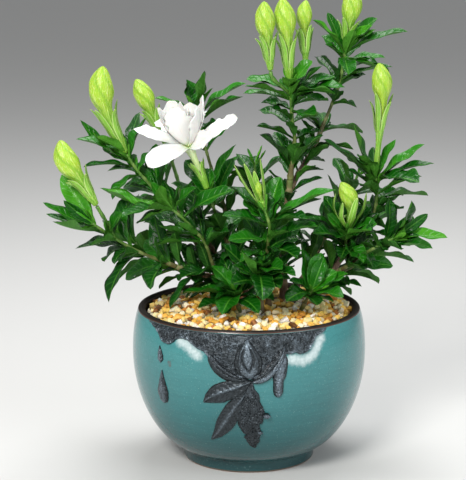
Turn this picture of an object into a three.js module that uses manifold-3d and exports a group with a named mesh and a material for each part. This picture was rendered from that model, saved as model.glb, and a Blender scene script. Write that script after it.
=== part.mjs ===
// A gardenia in flower bud, growing in a round glazed bowl with a lotus relief and a top of crushed stone.
// Millimetres, +Z up, the front of the bowl towards -Y. The origin is the centre of the foot ring, on the
// table.
import * as THREE from 'three';
import { mergeVertices } from 'three/addons/utils/BufferGeometryUtils.js';
import Module from 'manifold-3d';

// ---------------------------------------------------------------- driving dimensions
const SEED = 41;
const CLEARANCE = 0.3; // between two pieces that touch

const BOWL_SIDES = 32;
const FOOT = { radius: 45, inner: 35, height: 6.5, recess: 3 };
const DRAIN_RADIUS = 6;
const BELLY = { radius: 80, height: 76 };
const RIM = { outer: 76.2, inner: 71, height: 106.2 };
const FLOOR = { radius: 36, height: 11 };
const RELIEF_SINK = 2; // how deep a relief piece reaches into the wall

const SOIL = { sides: 16, top: 95, wallGap: 2.3 };
const GRAVEL = { edge: 101.5, crown: 108.5, wallGap: 0.9, rings: 8, sectors: 28 };

const STEM_SIDES = 5;
const STEM_STEP = 15; // length of one straight stretch of stem
const STEM_FOOT = 86; // height, inside the soil, where a rooted stem ends

const LEAF = { heel: 0.9, fold: THREE.MathUtils.degToRad(20), wave: 0.5, longFrom: 41, clearance: 0.34 };
const BUD = { foot: 1.6, seat: 0.45, ridges: 4, twist: 0.35 };
const CALYX_LOBE = { count: 5, width: 3.4, thickness: 1.3 };
const PETAL = { thickness: 1.2 };

// ---------------------------------------------------------------- finishes
const GLAZE = { color: 0x4a8f8b, roughness: 0.15, metalness: 0 };
const EARTH = { color: 0x2b211a, roughness: 0.95, metalness: 0 };
const STONE = { color: 0xd9b987, roughness: 0.7, metalness: 0 };
const BARK = { color: 0x5b4030, roughness: 0.85, metalness: 0 };
const FOLIAGE = { color: 0x2f7a2c, roughness: 0.35, metalness: 0 };
const BUD_GREEN = { color: 0xa9cf3f, roughness: 0.4, metalness: 0 };
const CALYX_GREEN = { color: 0x6fae35, roughness: 0.45, metalness: 0 };
const PETAL_WHITE = { color: 0xf7f6f0, roughness: 0.5, metalness: 0 };

// ---------------------------------------------------------------- vectors, curves and solids
const wasm = await Module();
wasm.setup();

const UP = new THREE.Vector3(0, 0, 1);
const DEPTH = new THREE.Vector3(0, 1, 0);
const vector = (point) => new THREE.Vector3(...point);
const smooth = (points) => new THREE.CatmullRomCurve3(points.map(vector), false, 'centripetal');
const random = () => THREE.MathUtils.seededRandom();
const between = (low, high) => low + (high - low) * random();
const flat = (points) => points.map(([x, y]) => new THREE.Vector2(x, y));

// Piecewise-linear value at x in a table of [x, value] rows.
function lookUp(rows, x) {
  const next = rows.findIndex((row) => row[0] >= x);
  if (next === 0) return rows[0][1];
  if (next < 0) return rows[rows.length - 1][1];
  const [x0, y0] = rows[next - 1];
  const [x1, y1] = rows[next];
  return y0 + ((y1 - y0) * (x - x0)) / (x1 - x0);
}

function signedVolume(position, index) {
  const corner = (i) => new THREE.Vector3().fromArray(position, index[i] * 3);
  let sum = 0;
  for (let i = 0; i < index.length; i += 3) sum += corner(i).dot(corner(i + 1).cross(corner(i + 2)));
  return sum / 6;
}

// A closed three.js geometry as a solid, with its faces turned outwards.
function solidOf(geometry) {
  const bare = new THREE.BufferGeometry().setIndex(geometry.index);
  bare.setAttribute('position', geometry.getAttribute('position'));
  const merged = mergeVertices(bare, 1e-4);
  const position = merged.getAttribute('position').array;
  const index = [];
  for (let i = 0; i < merged.index.count; i += 3) {
    const [a, b, c] = [0, 1, 2].map((k) => merged.index.getX(i + k));
    if (a !== b && b !== c && c !== a) index.push(a, b, c);
  }
  if (signedVolume(position, index) < 0) index.reverse();
  const mesh = { numProp: 3, vertProperties: new Float32Array(position), triVerts: new Uint32Array(index) };
  return new wasm.Manifold(new wasm.Mesh(mesh));
}

const fuse = (solids) => solids.reduce((whole, solid) => whole.add(solid));

// The largest body of a solid: loose scraps and the skins of sealed hollows are dropped.
function mainBody(solid) {
  const bodies = solid.simplify(0.01).decompose();
  return bodies.reduce((largest, body) => (body.volume() > largest.volume() ? body : largest));
}

// A closed skin over rings of equally many points, each end a flat cap or, where root or tip is given, a
// point. The diagonals alternate round the ring, so that the upper and the lower face of a blade split
// alike.
function loft(rings, { root = null, tip = null } = {}) {
  const count = rings[0].length;
  const points = rings.flat();
  const faces = [];
  for (let i = 0; i + 1 < rings.length; i++) {
    for (let j = 0; j < count; j++) {
      const [a, b] = [i * count + j, i * count + ((j + 1) % count)];
      const [c, d] = [a + count, b + count];
      faces.push(...(j % 2 === 0 ? [a, b, d, a, d, c] : [a, b, c, b, d, c]));
    }
  }
  const last = points.length - count;
  if (root) points.push(root);
  for (let j = 0; j < count && root; j++) faces.push((j + 1) % count, j, points.length - 1);
  for (let j = 1; j + 1 < count && !root; j++) faces.push(0, j + 1, j);
  if (tip) points.push(tip);
  for (let j = 0; j < count && tip; j++) faces.push(last + j, last + ((j + 1) % count), points.length - 1);
  for (let j = 1; j + 1 < count && !tip; j++) faces.push(last, last + j, last + j + 1);
  return solidOf(new THREE.BufferGeometry().setFromPoints(points).setIndex(faces));
}

function revolve(profile, sides) {
  return solidOf(new THREE.LatheGeometry(flat(profile), sides).rotateX(Math.PI / 2));
}

// ---------------------------------------------------------------- bowl
// The outer wall as [radius, height] points: two swept curves that meet at the belly.
function bowlOutline() {
  const { radius, height } = BELLY;
  const lower = new THREE.CubicBezierCurve(...flat([[46.2, 8.2], [63, 14], [radius, 42], [radius, height]]));
  const shoulder = [[radius, height], [80, 90], [78, 99], [RIM.outer, 104.4]];
  const upper = new THREE.CubicBezierCurve(...flat(shoulder));
  return [...lower.getPoints(7), ...upper.getPoints(3).slice(1)].map((p) => [p.x, p.y]);
}

// The inner wall as [radius, height] points, from the floor up.
function bowlInside() {
  const floorEdge = [FLOOR.radius, FLOOR.height];
  const lower = new THREE.CubicBezierCurve(...flat([floorEdge, [58, 18], [74.4, 46], [74.6, BELLY.height]]));
  const shoulder = [[74.6, BELLY.height], [74.6, 88], [73, 96], [RIM.inner, 103.6]];
  const upper = new THREE.CubicBezierCurve(...flat(shoulder));
  return [...lower.getPoints(4), ...upper.getPoints(2).slice(1)].map((p) => [p.x, p.y]);
}

const OUTLINE = bowlOutline();
const INSIDE = bowlInside();
const wallRadius = (height) => lookUp(OUTLINE.map(([r, z]) => [z, r]), height);
const insideRadius = (height) => lookUp(INSIDE.map(([r, z]) => [z, r]), height);

function bowlBody() {
  const foot = [[FOOT.inner, FOOT.recess], [FOOT.inner + 1, 0], [FOOT.radius - 1, 0]];
  const step = [[FOOT.radius, 1.2], [FOOT.radius, FOOT.height]];
  const lip = [[RIM.outer - 0.8, 105.7], [73.5, RIM.height], [RIM.inner + 0.5, 105.4]];
  const profile = [[DRAIN_RADIUS, FOOT.recess], ...foot, ...step, ...OUTLINE, ...lip, ...INSIDE.toReversed()];
  profile.push([DRAIN_RADIUS, FLOOR.height], profile[0]);
  return revolve(profile, BOWL_SIDES);
}

// A point at an angle round from the front, a height and a distance out from the wall.
function onBowl(degrees, height, lift) {
  const angle = THREE.MathUtils.degToRad(degrees);
  const radius = wallRadius(height) + lift;
  return new THREE.Vector3(radius * Math.sin(angle), -radius * Math.cos(angle), height);
}

// A raised band or petal along stations of [degrees, height, half width, crest], its edges standing 1 mm
// proud.
function reliefBlade(stations, edge = 1) {
  const across = THREE.MathUtils.degToRad(BELLY.radius); // mm of wall for a degree
  const rings = stations.map(([degrees, height, halfWidth, crest], i) => {
    const [before, after] = [stations[Math.max(i - 1, 0)], stations[Math.min(i + 1, stations.length - 1)]];
    const along = new THREE.Vector2((after[0] - before[0]) * across, after[1] - before[1]).normalize();
    const at = (side, lift) =>
      onBowl(degrees - (side * halfWidth * along.y) / across, height + side * halfWidth * along.x, lift);
    const back = -RELIEF_SINK;
    return [at(1, back), at(1, edge), at(0, crest), at(-1, edge), at(-1, back), at(0, back)];
  });
  return loft(rings);
}

// The dark apron under the lip: its ragged lower edge as [degrees, height].
const APRON_TOP = 103.8;
const APRON_EDGE = [
  [-60, 103], [-54, 101.5], [-50, 99], [-47, 94.5], [-42, 93], [-38, 97], [-32, 98.5], [-27, 94],
  [-20, 90], [-14, 88], [-7, 85.5], [0, 84], [7, 86], [13, 88], [17, 92], [21, 91],
  [25.5, 89.5], [29, 92.5], [32, 97], [37, 101], [42, 103],
];

function apron() {
  const middle = (low) => (low + APRON_TOP) / 2;
  return loft(APRON_EDGE.map(([degrees, low]) => [
    onBowl(degrees, low, -RELIEF_SINK), onBowl(degrees, low, 1.1), onBowl(degrees, middle(low), 1.3),
    onBowl(degrees, APRON_TOP, 1), onBowl(degrees, APRON_TOP, -RELIEF_SINK),
    onBowl(degrees, middle(low), -RELIEF_SINK),
  ]));
}

// The lotus bud with its two side petals, the stem that curls up beside it and the leaves below.
const RELIEF = {
  lotus: [[0, 102, 0.5, 2.2], [-0.5, 96, 3.6, 3.6], [0, 89, 6.9, 4.2], [0, 82, 6, 4], [0.5, 76, 0.6, 2.4]],
  leftPetal: [[-20, 91, 0.8, 1.8], [-17, 83.5, 3.2, 2.4], [-11, 78, 3.6, 2.8], [-5, 75.3, 1.8, 2.6],
    [-1, 74.6, 0.6, 2]],
  rightPetal: [[16, 96, 0.8, 2], [14.5, 88, 2.6, 2.6], [10, 81, 2.8, 2.8], [5, 77, 1.8, 2.6],
    [1.5, 75, 0.6, 2]],
  upperLeaf: [[0.5, 74, 1, 2], [-6, 70.5, 4.5, 2.6], [-12, 67.5, 5.6, 2.6], [-18, 63, 3.6, 2.2],
    [-22.5, 58.5, 0.6, 1.4]],
  lowerLeaf: [[0, 69, 1, 2], [-4.5, 60, 3.6, 2.4], [-9, 50, 6.3, 2.8], [-13.5, 41, 4.6, 2.4],
    [-22, 29.5, 0.6, 1.4]],
  rootLeaf: [[1, 74, 1.4, 2.4], [0.5, 66, 2.6, 2.6], [1.5, 54.5, 7.6, 3], [0.5, 47, 6.2, 2.8],
    [1, 40, 7, 2.8], [1, 33, 3.4, 2], [3, 24, 0.6, 1.4]],
  drip: [[16.5, 91, 2.6, 1.6], [15.5, 80, 2, 1.6], [13.5, 71, 3.2, 2], [13.5, 65.5, 3.6, 2],
    [13.5, 62, 0.8, 1.2]],
  firstDrop: [[-48.5, 91, 0.5, 1.2], [-47.5, 84, 3, 2], [-47, 80, 0.8, 1.2]],
  secondDrop: [[-46, 75, 0.5, 1.2], [-46.5, 65, 3, 2], [-46.5, 57.5, 5.6, 2.4], [-47, 52, 0.9, 1.2]],
};

function bowl() {
  const blades = Object.values(RELIEF).map((stations) => reliefBlade(stations));
  return mainBody(fuse([bowlBody(), apron(), ...blades]));
}

// ---------------------------------------------------------------- stems
// Each shoot's route from the surface of the stones to its tip. wood is the share of it that is bare and
// brown, radius its size at the foot and at the tip. from names the shoot that it forks from, or null if it
// has roots. twigs are short green forks of the leafy part: the stalks of buds.
const SHOOTS = {
  left_low: {
    route: [[-9, 4, 114], [-19, -4, 125], [-36, -14, 131], [-54, -24, 140], [-73, -34, 150], [-89, -42, 161],
      [-103, -48, 172]],
    twigs: [[[-89, -42, 161], [-94, -44, 172], [-100, -46, 183]]],
    wood: 0.44, radius: [2, 1.4],
  },
  left_up: {
    route: [[-7.8, 6.4, 115], [-16, 6, 130], [-30, 2, 151], [-46, -6, 169], [-60, -12, 184], [-69, -15, 195],
      [-75, -16, 202], [-82, -18, 213]],
    twigs: [[[-46, -6, 169], [-47, 4, 185], [-53, 8, 205], [-59, 8, 220]]],
    wood: 0.42, radius: [2, 1.4],
  },
  small_front: {
    route: [[-14, -10, 116], [-23, -14, 133], [-30, -22, 154], [-39, -28, 166], [-45, -32, 173],
      [-53, -36, 181]],
    wood: 0.1, radius: [1.8, 1.4],
  },
  flower: {
    route: [[-2, 2, 114], [-9, 2, 136], [-18, -6, 158], [-24, -18, 177], [-28, -24, 190]],
    wood: 0.4, radius: [1.9, 1.5],
  },
  behind: {
    route: [[2, 20, 113], [-6, 40, 136], [-19, 55, 169], [-30, 60, 204], [-38, 62, 236]],
    wood: 0.5, radius: [2, 1.4],
  },
  trunk: {
    route: [[24, 12, 111], [24, 14, 134], [25, 14, 159], [27, 12, 180], [29, 10, 202], [31, 10, 219],
      [29, 8, 234], [28, 6, 250], [27, 4, 259]],
    twigs: [
      [[28, 6, 250], [21, 0, 257], [15.4, -3.4, 262], [14, -4, 267]],
      [[28, 6, 250], [34, 12, 258], [37.6, 15.6, 265], [38, 16, 271]],
    ],
    wood: 0.54, radius: [3, 1.6],
  },
  up_right: {
    route: [[27, 12, 180], [34, 20, 194], [44, 27, 209], [51, 32, 225], [58, 34, 242], [63, 34, 257],
      [65, 32, 271], [66, 30, 279]],
    from: 'trunk', wood: 0.42, radius: [2, 1.4],
  },
  right: {
    route: [[47, -2, 115], [55, -2, 127], [64, 0, 140], [73, 2, 151], [81, 5, 161], [86, 6, 170],
      [87, 6, 183], [86, 6, 197]],
    wood: 0.54, radius: [2.4, 1.5],
  },
  right_low: {
    route: [[55, -2, 127], [66, -10, 135], [76, -16, 144], [86, -20, 151], [98, -24, 158]],
    from: 'right', wood: 0.2, radius: [1.7, 1.4],
  },
  small_right: {
    route: [[64, 0, 140], [65, -12, 150], [65, -16, 156], [66, -18, 163]],
    from: 'right', wood: 0.25, radius: [1.6, 1.4],
  },
  front_mid: {
    route: [[13, -18, 118], [11, -30, 138], [12, -40, 157], [13, -44, 170], [9, -46, 182]],
    wood: 0.36, radius: [1.9, 1.5],
  },
  front_low: {
    route: [[8, -30, 118], [6, -40, 130], [7, -48, 142]],
    wood: 0.3, radius: [1.6, 1.4],
  },
  low_centre: {
    route: [[-6, -32, 107], [-8, -35, 116], [-9, -37, 124]],
    wood: 0.4, radius: [1.6, 1.4],
  },
  low_right: {
    route: [[34, -26, 107], [38, -30, 116], [42, -34, 125]],
    wood: 0.4, radius: [1.6, 1.4],
  },
  back_left: {
    route: [[-14, 24, 112], [-28, 34, 130], [-44, 42, 150], [-58, 46, 166], [-70, 48, 184]],
    wood: 0.4, radius: [1.9, 1.4],
  },
  back_low_left: {
    route: [[-24, 14, 112], [-44, 26, 122], [-64, 34, 132], [-84, 38, 144]],
    wood: 0.4, radius: [1.7, 1.4],
  },
  back_mid: {
    route: [[14, 34, 112], [14, 48, 130], [10, 57, 152], [6, 60, 174], [4, 60, 196]],
    wood: 0.4, radius: [1.9, 1.4],
  },
  back_right: {
    route: [[34, 28, 112], [46, 40, 130], [58, 48, 150], [70, 52, 170], [78, 52, 190]],
    wood: 0.4, radius: [1.9, 1.4],
  },
  back_low_right: {
    route: [[46, 14, 112], [62, 26, 120], [80, 36, 130], [96, 40, 142]],
    wood: 0.4, radius: [1.7, 1.4],
  },
};

const rooted = (shoot) => !shoot.from;
for (const shoot of Object.values(SHOOTS)) {
  shoot.curve = smooth(shoot.route);
  shoot.length = shoot.curve.getLength();
}

// The point of a curve at a share of its length, its direction there and two axes across it.
function crossAxes(curve, position) {
  const share = THREE.MathUtils.clamp(position, 0, 1);
  const tangent = curve.getTangentAt(share);
  const side = new THREE.Vector3().crossVectors(DEPTH, tangent).normalize();
  const front = new THREE.Vector3().crossVectors(tangent, side);
  return { centre: curve.getPointAt(share), tangent, side, front };
}

// A tube along a curve from arc length start to end; radius is a function of the arc length.
function tube(curve, start, end, radius) {
  const length = curve.getLength();
  const steps = Math.max(1, Math.round((end - start) / STEM_STEP));
  const rings = [];
  for (let i = 0; i <= steps; i++) {
    const along = start + ((end - start) * i) / steps;
    const { centre, side, front } = crossAxes(curve, along / length);
    rings.push(ringOf(centre, side, front, radius(along), STEM_SIDES));
  }
  return loft(rings);
}

function ringOf(centre, side, front, radius, sides) {
  return Array.from({ length: sides }, (_, k) => {
    const angle = (k / sides) * Math.PI * 2;
    const out = side.clone().multiplyScalar(Math.cos(angle)).addScaledVector(front, Math.sin(angle));
    return centre.clone().addScaledVector(out, radius);
  });
}

// The straight foot of a rooted stem, down into the soil; grow widens it for the hole that it stands in.
function stemFoot(shoot, grow = 0) {
  const top = vector(shoot.route[0]);
  const bottom = top.clone().setZ(STEM_FOOT - grow);
  const rise = new THREE.LineCurve3(bottom, top.clone().addScaledVector(UP, 1));
  return tube(rise, 0, rise.getLength(), () => shoot.radius[0] + grow);
}

function shootRadius(shoot, along) {
  return THREE.MathUtils.lerp(shoot.radius[0], shoot.radius[1], along / shoot.length);
}

function woodyPart(shoot) {
  const end = shoot.wood * shoot.length - CLEARANCE / 2;
  const stem = tube(shoot.curve, 0, end, (along) => shootRadius(shoot, along));
  return rooted(shoot) ? stem.add(stemFoot(shoot)) : stem;
}

function greenPart(shoot) {
  const start = shoot.wood * shoot.length + CLEARANCE / 2;
  const tip = tube(shoot.curve, start, shoot.length, (along) => shootRadius(shoot, along));
  return [tip, ...(shoot.twigs ?? []).map(twig)];
}

function twig(route) {
  const curve = smooth(route);
  return tube(curve, 0, curve.getLength(), () => 1.5);
}

// Brown stems: each one with the shoots that fork from it.
const STEMS = {
  stem_left: ['left_low', 'left_up'],
  stem_small_front: ['small_front'],
  stem_flower: ['flower'],
  stem_behind: ['behind'],
  stem_trunk: ['trunk', 'up_right'],
  stem_right: ['right', 'right_low', 'small_right'],
  stem_front_mid: ['front_mid'],
  stem_front_low: ['front_low'],
  stem_low_centre: ['low_centre'],
  stem_low_right: ['low_right'],
  stem_back_left: ['back_left'],
  stem_back_low_left: ['back_low_left'],
  stem_back_mid: ['back_mid'],
  stem_back_right: ['back_right'],
  stem_back_low_right: ['back_low_right'],
};

// ---------------------------------------------------------------- soil and stones
const HOLE = { grow: 0.6, length: 12 };
const HOLES = Object.values(SHOOTS).filter(rooted).map((shoot) => stemHole(shoot));

function stemHole(shoot) {
  const start = tube(shoot.curve, 0, HOLE.length, (along) => shootRadius(shoot, along) + HOLE.grow);
  return stemFoot(shoot, HOLE.grow).add(start);
}

function insideProfile(bottom, top, gap) {
  const wall = INSIDE.filter(([, height]) => height > bottom + 1 && height < top - 1);
  const ends = [[insideRadius(bottom), bottom], ...wall, [insideRadius(top), top]];
  return ends.map(([radius, height]) => [radius - gap, height]);
}

function soil() {
  const bottom = FLOOR.height + CLEARANCE;
  const wall = insideProfile(bottom + 1, SOIL.top, SOIL.wallGap);
  const profile = [[0, bottom], [FLOOR.radius - 4, bottom], ...wall, [0, SOIL.top]];
  return mainBody(HOLES.reduce((body, hole) => body.subtract(hole), revolve(profile, SOIL.sides)));
}

// Height of the mound of stones at a distance from the middle.
function moundHeight(radius) {
  return GRAVEL.crown - (GRAVEL.crown - GRAVEL.edge) * (radius / RIM.inner) ** 2;
}

// Point of the stone surface at a ring and sector of its net, pushed off its place by up to a jitter.
function stonePoint(ring, sector, lift, jitter) {
  const reach = insideRadius(GRAVEL.edge) - GRAVEL.wallGap;
  const radius = (ring / GRAVEL.rings) * reach;
  const angle = (sector / GRAVEL.sectors) * Math.PI * 2;
  const [dx, dy] = ring < GRAVEL.rings ? [between(-jitter, jitter), between(-jitter, jitter)] : [0, 0];
  return [radius * Math.cos(angle) + dx, radius * Math.sin(angle) + dy, moundHeight(radius) + lift];
}

// A mound of crushed stone: each cell of the net is one stone, a faceted peak over four low corners.
function stoneHeap() {
  const { rings, sectors } = GRAVEL;
  const floor = SOIL.top + CLEARANCE;
  const points = [];
  const corners = Array.from({ length: rings }, (_, i) => Array.from({ length: sectors }, (_, j) =>
    points.push(stonePoint(i + 1, j, between(-2.4, -0.6), 1.4)) - 1));
  const middle = points.push([0, 0, GRAVEL.crown]) - 1;
  const under = points.push([0, 0, floor]) - 1;
  const hem = corners[rings - 1].map((corner) => points.push([...points[corner].slice(0, 2), floor]) - 1);
  const faces = [];
  for (let j = 0; j < sectors; j++) {
    const next = (j + 1) % sectors;
    faces.push(middle, corners[0][j], corners[0][next], under, hem[next], hem[j]);
    const edge = corners[rings - 1];
    faces.push(edge[j], hem[j], hem[next], edge[j], hem[next], edge[next]);
    for (let i = 0; i + 1 < rings; i++) {
      const cell = [corners[i][j], corners[i + 1][j], corners[i + 1][next], corners[i][next]];
      const peak = points.push(stonePoint(i + 1.5, j + 0.5, between(1.2, 3.4), 2)) - 1;
      cell.forEach((corner, k) => faces.push(corner, cell[(k + 1) % 4], peak));
    }
  }
  return solidOf(new THREE.BufferGeometry().setFromPoints(points.map(vector)).setIndex(faces));
}

function gravel() {
  THREE.MathUtils.seededRandom(SEED);
  return mainBody(HOLES.reduce((body, hole) => body.subtract(hole), stoneHeap()));
}

// ---------------------------------------------------------------- leaves
const LEAF_WIDTH = [[0, 0.1], [0.25, 0.62], [0.4, 0.86], [0.6, 1], [0.72, 0.93], [0.84, 0.66], [1, 0]];
const LEAF_RIB = [[0, 2.2], [0.25, 2.1], [0.65, 1.3], [1, 1.1]]; // depth of the rib below the blade
const LONG_LEAF = [0.22, 0.54, 0.82];
const SHORT_LEAF = [0.26, 0.66];

// One folded, arched leaf from its root on the stem's axis to its tip. face is the way that its upper side
// looks. outer is the same leaf without its foot, to test where it may not cross its neighbours.
function leaf({ root, tip, face, width, arch }) {
  const along = new THREE.Vector3().subVectors(tip, root);
  const length = along.length();
  const ahead = along.clone().normalize();
  const upward = face.clone().addScaledVector(ahead, -face.dot(ahead)).normalize();
  const side = new THREE.Vector3().crossVectors(ahead, upward);
  const knee = root.clone().lerp(tip, 0.45).addScaledVector(upward, arch * length);
  const rib = new THREE.QuadraticBezierCurve3(root, knee, tip);
  const rings = (length > LEAF.longFrom ? LONG_LEAF : SHORT_LEAF).map((share, i) => {
    const centre = rib.getPoint(share);
    const normal = new THREE.Vector3().crossVectors(side, rib.getTangent(share)).normalize();
    const half = (lookUp(LEAF_WIDTH, share) * width) / 2;
    const wave = i % 2 ? -LEAF.wave : LEAF.wave;
    const edge = (way) =>
      centre.clone().addScaledVector(side, way * half * Math.cos(LEAF.fold))
        .addScaledVector(normal, half * Math.sin(LEAF.fold) + way * wave);
    return [edge(-1), centre, edge(1), centre.clone().addScaledVector(normal, -lookUp(LEAF_RIB, share))];
  });
  const heel = root.clone().addScaledVector(ahead, -LEAF.heel);
  const full = loft(rings, { root: heel, tip });
  return { full, outer: loft(rings, { tip }), box: full.boundingBox() };
}

const placed = []; // every solid so far: { node, solid, outer, box }, where only a leaf has an outer part

function place(node, solid, outer = null) {
  placed.push({ node, solid, outer, box: solid.boundingBox() });
}

function boxesApart(a, b, gap) {
  return [0, 1, 2].some((k) => a.min[k] > b.max[k] + gap || b.min[k] > a.max[k] + gap);
}

const apart = (a, b, gap) => a.minGap(b, gap) >= gap;

// A leaf fits where it is clear of every other node, and crosses nothing of its own beyond its foot.
function fits(blade, node) {
  return placed.every((other) => {
    if (boxesApart(blade.box, other.box, LEAF.clearance)) return true;
    if (other.node !== node) return apart(blade.full, other.solid, LEAF.clearance);
    return apart(blade.outer, other.solid, 0.1) && (!other.outer || apart(blade.full, other.outer, 0.1));
  });
}

// Grows the first of the options that fits. Returns whether one did.
function growLeaf(node, options) {
  for (const option of options) {
    const blade = leaf(option);
    if (fits(blade, node)) {
      place(node, blade.full, blade.outer);
      return true;
    }
    blade.full.delete();
    blade.outer.delete();
  }
  return false;
}

// Leaves that show from the front, by shoot: share of the way up the stem, the tip's place, and the width.
const FRONT_LEAVES = {
  left_low: [
    [0.68, -93, -48, 119, 10], [0.5, -66, -36, 125, 13], [0.98, -135, -48, 186, 8],
    [0.97, -128, -57, 175, 14],
    [0.94, -134, -40, 177, 7], [0.98, -124, -34, 202, 11], [0.86, -77, -27, 186, 11],
    [0.83, -104, -57, 159, 11], [0.75, -97, -27, 142, 10],
  ],
  left_up: [
    [0.96, -115, -22, 224, 10], [0.98, -113, -14, 236, 7], [0.92, -110, -27, 206, 7], [0.94, -99, -3, 216, 7],
    [0.87, -96, -30, 198, 8], [0.97, -69, -6, 236, 10], [0.89, -59, -2, 216, 10], [0.79, -82, -2, 189, 10],
    [0.96, -75, 24, 236, 8], [0.75, -42, 28, 230, 10],
  ],
  behind: [
    [0.98, -44, 66, 254, 13], [0.96, -31, 58, 261, 10], [0.95, -66, 54, 242, 7], [0.94, -2, 68, 251, 11],
    [0.91, -4, 47, 244, 13], [0.87, -19, 77, 218, 12], [0.79, -50, 68, 219, 11],
  ],
  small_front: [
    [0.97, -98, -44, 195, 13], [0.95, -82, -58, 178, 14], [0.95, -35, -44, 195, 8], [0.97, -65, -38, 198, 6],
    [0.92, -57, -34, 199, 6], [0.84, -11, -41, 193, 12], [0.53, -67, -36, 154, 10], [0.64, -61, -37, 169, 10],
    [0.22, -45, -40, 134, 16], [0.15, -15, -37, 108, 13], [0.5, -14, -34, 164, 11],
  ],
  flower: [
    [0.95, -9, -12, 219, 7], [0.92, -43, -9, 208, 12], [0.84, -10, -3, 187, 11], [0.56, -36, -22, 173, 12],
    [0.56, 1, 8, 168, 12],
  ],
  trunk: [
    [0.6, 7, 6, 223, 14], [0.6, 50, 2, 223, 14], [0.73, 5, 4, 229, 10], [0.73, 50, 16, 224, 8],
    [0.82, 15, -2, 242, 10], [0.81, 47, 20, 234, 10], [0.87, 8, 13, 244, 10], [0.92, -3, -4, 257, 10],
    [0.92, 64, 0, 256, 13], [0.94, -4, 15, 250, 10], [0.95, -2, -5, 263, 11], [0.95, 49, -7, 271, 14],
    [0.95, 58, 11, 262, 11], [0.89, 54, 23, 244, 14], [0.86, 34, -10, 259, 12],
  ],
  up_right: [
    [0.97, 108, 27, 291, 10], [0.97, 88, 34, 300, 10], [0.95, 87, 19, 293, 8], [0.93, 95, 20, 278, 12],
    [0.91, 94, 38, 272, 7], [0.85, 88, 45, 269, 7], [0.97, 43, 26, 299, 8], [0.94, 50, 40, 287, 10],
    [0.97, 54, 40, 303, 7], [0.8, 98, 26, 267, 7], [0.79, 43, 24, 274, 10], [0.76, 81, 42, 260, 7],
    [0.64, 74, 26, 239, 8], [0.67, 45, 44, 253, 10], [0.48, 36, 40, 234, 10], [0.95, 69, 15, 290, 10],
  ],
  right: [
    [0.97, 71, 10, 230, 11], [0.96, 50, -2, 221, 10], [0.94, 67, 18, 207, 10], [0.95, 106, -8, 215, 16],
    [0.93, 126, 8, 203, 8], [0.95, 120, 16, 215, 10], [0.97, 100, 2, 221, 7], [0.84, 117, 2, 195, 10],
    [0.81, 123, 12, 180, 12], [0.86, 66, 0, 200, 7], [0.74, 106, 20, 181, 12], [0.69, 104, -10, 175, 11],
    [0.67, 71, 20, 178, 11], [0.6, 95, -9, 159, 11],
  ],
  right_low: [
    [0.97, 108, -24, 183, 13], [0.97, 133, -20, 157, 8], [0.95, 114, -34, 156, 8], [0.86, 100, -36, 152, 10],
    [0.76, 77, -34, 166, 11], [0.52, 82, -32, 139, 11], [0.27, 76, -30, 137, 11],
  ],
  small_right: [
    [0.5, 32, -26, 169, 10], [0.69, 50, -11, 184, 12], [0.69, 85, -25, 167, 13], [0.4, 76, -26, 141, 11],
    [0.69, 42, -31, 162, 12], [0.8, 80, -6, 176, 10],
  ],
  front_mid: [
    [0.8, -18, -52, 178, 11], [0.83, 56, -46, 194, 11], [0.82, 20, -36, 201, 14], [0.85, -4, -36, 186, 11],
    [0.67, 44, -53, 171, 12], [0.64, -14, -54, 162, 11], [0.55, 31, -55, 150, 16], [0.85, 32, -56, 186, 12],
    [0.49, -6, -51, 147, 12],
  ],
  front_low: [
    [0.92, 21, -65, 145, 12], [0.92, -5, -61, 156, 11], [0.63, 20, -58, 131, 12], [0.58, -12, -59, 134, 12],
    [0.9, 8, -71, 126, 13],
  ],
  low_centre: [
    [0.8, -44, -42, 124, 12], [0.8, 16, -50, 121, 12], [0.7, -34, -52, 116, 10], [0.7, -18, -66, 115, 12],
    [0.6, 6, -62, 115, 10], [0.9, -26, -24, 132, 10], [0.9, -2, -30, 146, 10],
  ],
  low_right: [
    [0.8, 24, -50, 120, 11], [0.8, 62, -46, 122, 11], [0.7, 44, -60, 120, 10], [0.9, 48, -26, 148, 10],
    [0.9, 66, -28, 134, 11],
  ],
};

// Ways in which a leaf gives way to its neighbours: bent to the back or front, rooted lower, arched more or
// less.
const BENDS = [0, 4, -4, 8, -8, 12, -12, 17, -17];
const BACKWARD = new THREE.Vector3(0, 1, -0.2);

function frontLeafOptions(shoot, [share, x, y, z, width]) {
  const rootShare = Math.min(share, 1 - 3 / shoot.length);
  const options = [];
  for (const bend of BENDS) {
    for (const [lower, moreArch] of [[0, 0], [0, -0.12], [4, 0], [7, 0.1]]) {
      const at = Math.max(rootShare - lower / shoot.length, shoot.wood + 2 / shoot.length);
      const root = shoot.curve.getPointAt(at);
      const tangent = shoot.curve.getTangentAt(at);
      const tip = vector([x, y, z]).addScaledVector(BACKWARD, bend);
      const ahead = tip.clone().sub(root).normalize();
      const steep = ahead.dot(tangent) > 0.85;
      const arch = (steep ? -0.12 : tip.z < root.z ? 0.26 : 0.13) + moreArch;
      options.push({ root, tip, width, arch, face: tangent.clone().addScaledVector(UP, 0.6) });
    }
  }
  return options;
}

// Leaves that only the sides and the back show stand in whorls up the shoot, each whorl turned on from the
// last. A shoot with front leaves gets pairs towards the back, and one without gets threes all round.
// Azimuths are shares of a turn, with a quarter straight back. Each try draws the length and the spread
// anew.
const TURN = Math.PI * 2;
const PAIRS = { step: 33, azimuths: [0.12, 0.38], shift: 0 };
const THREES = { step: 17, azimuths: [0, 1 / 3, 2 / 3], shift: 1 / 6 };
const REACH = { low: 111, back: 82, front: -74, side: 134 };

function inReach({ tip }) {
  return tip.y < REACH.back && tip.y > REACH.front && tip.z > REACH.low && Math.abs(tip.x) < REACH.side;
}

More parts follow.
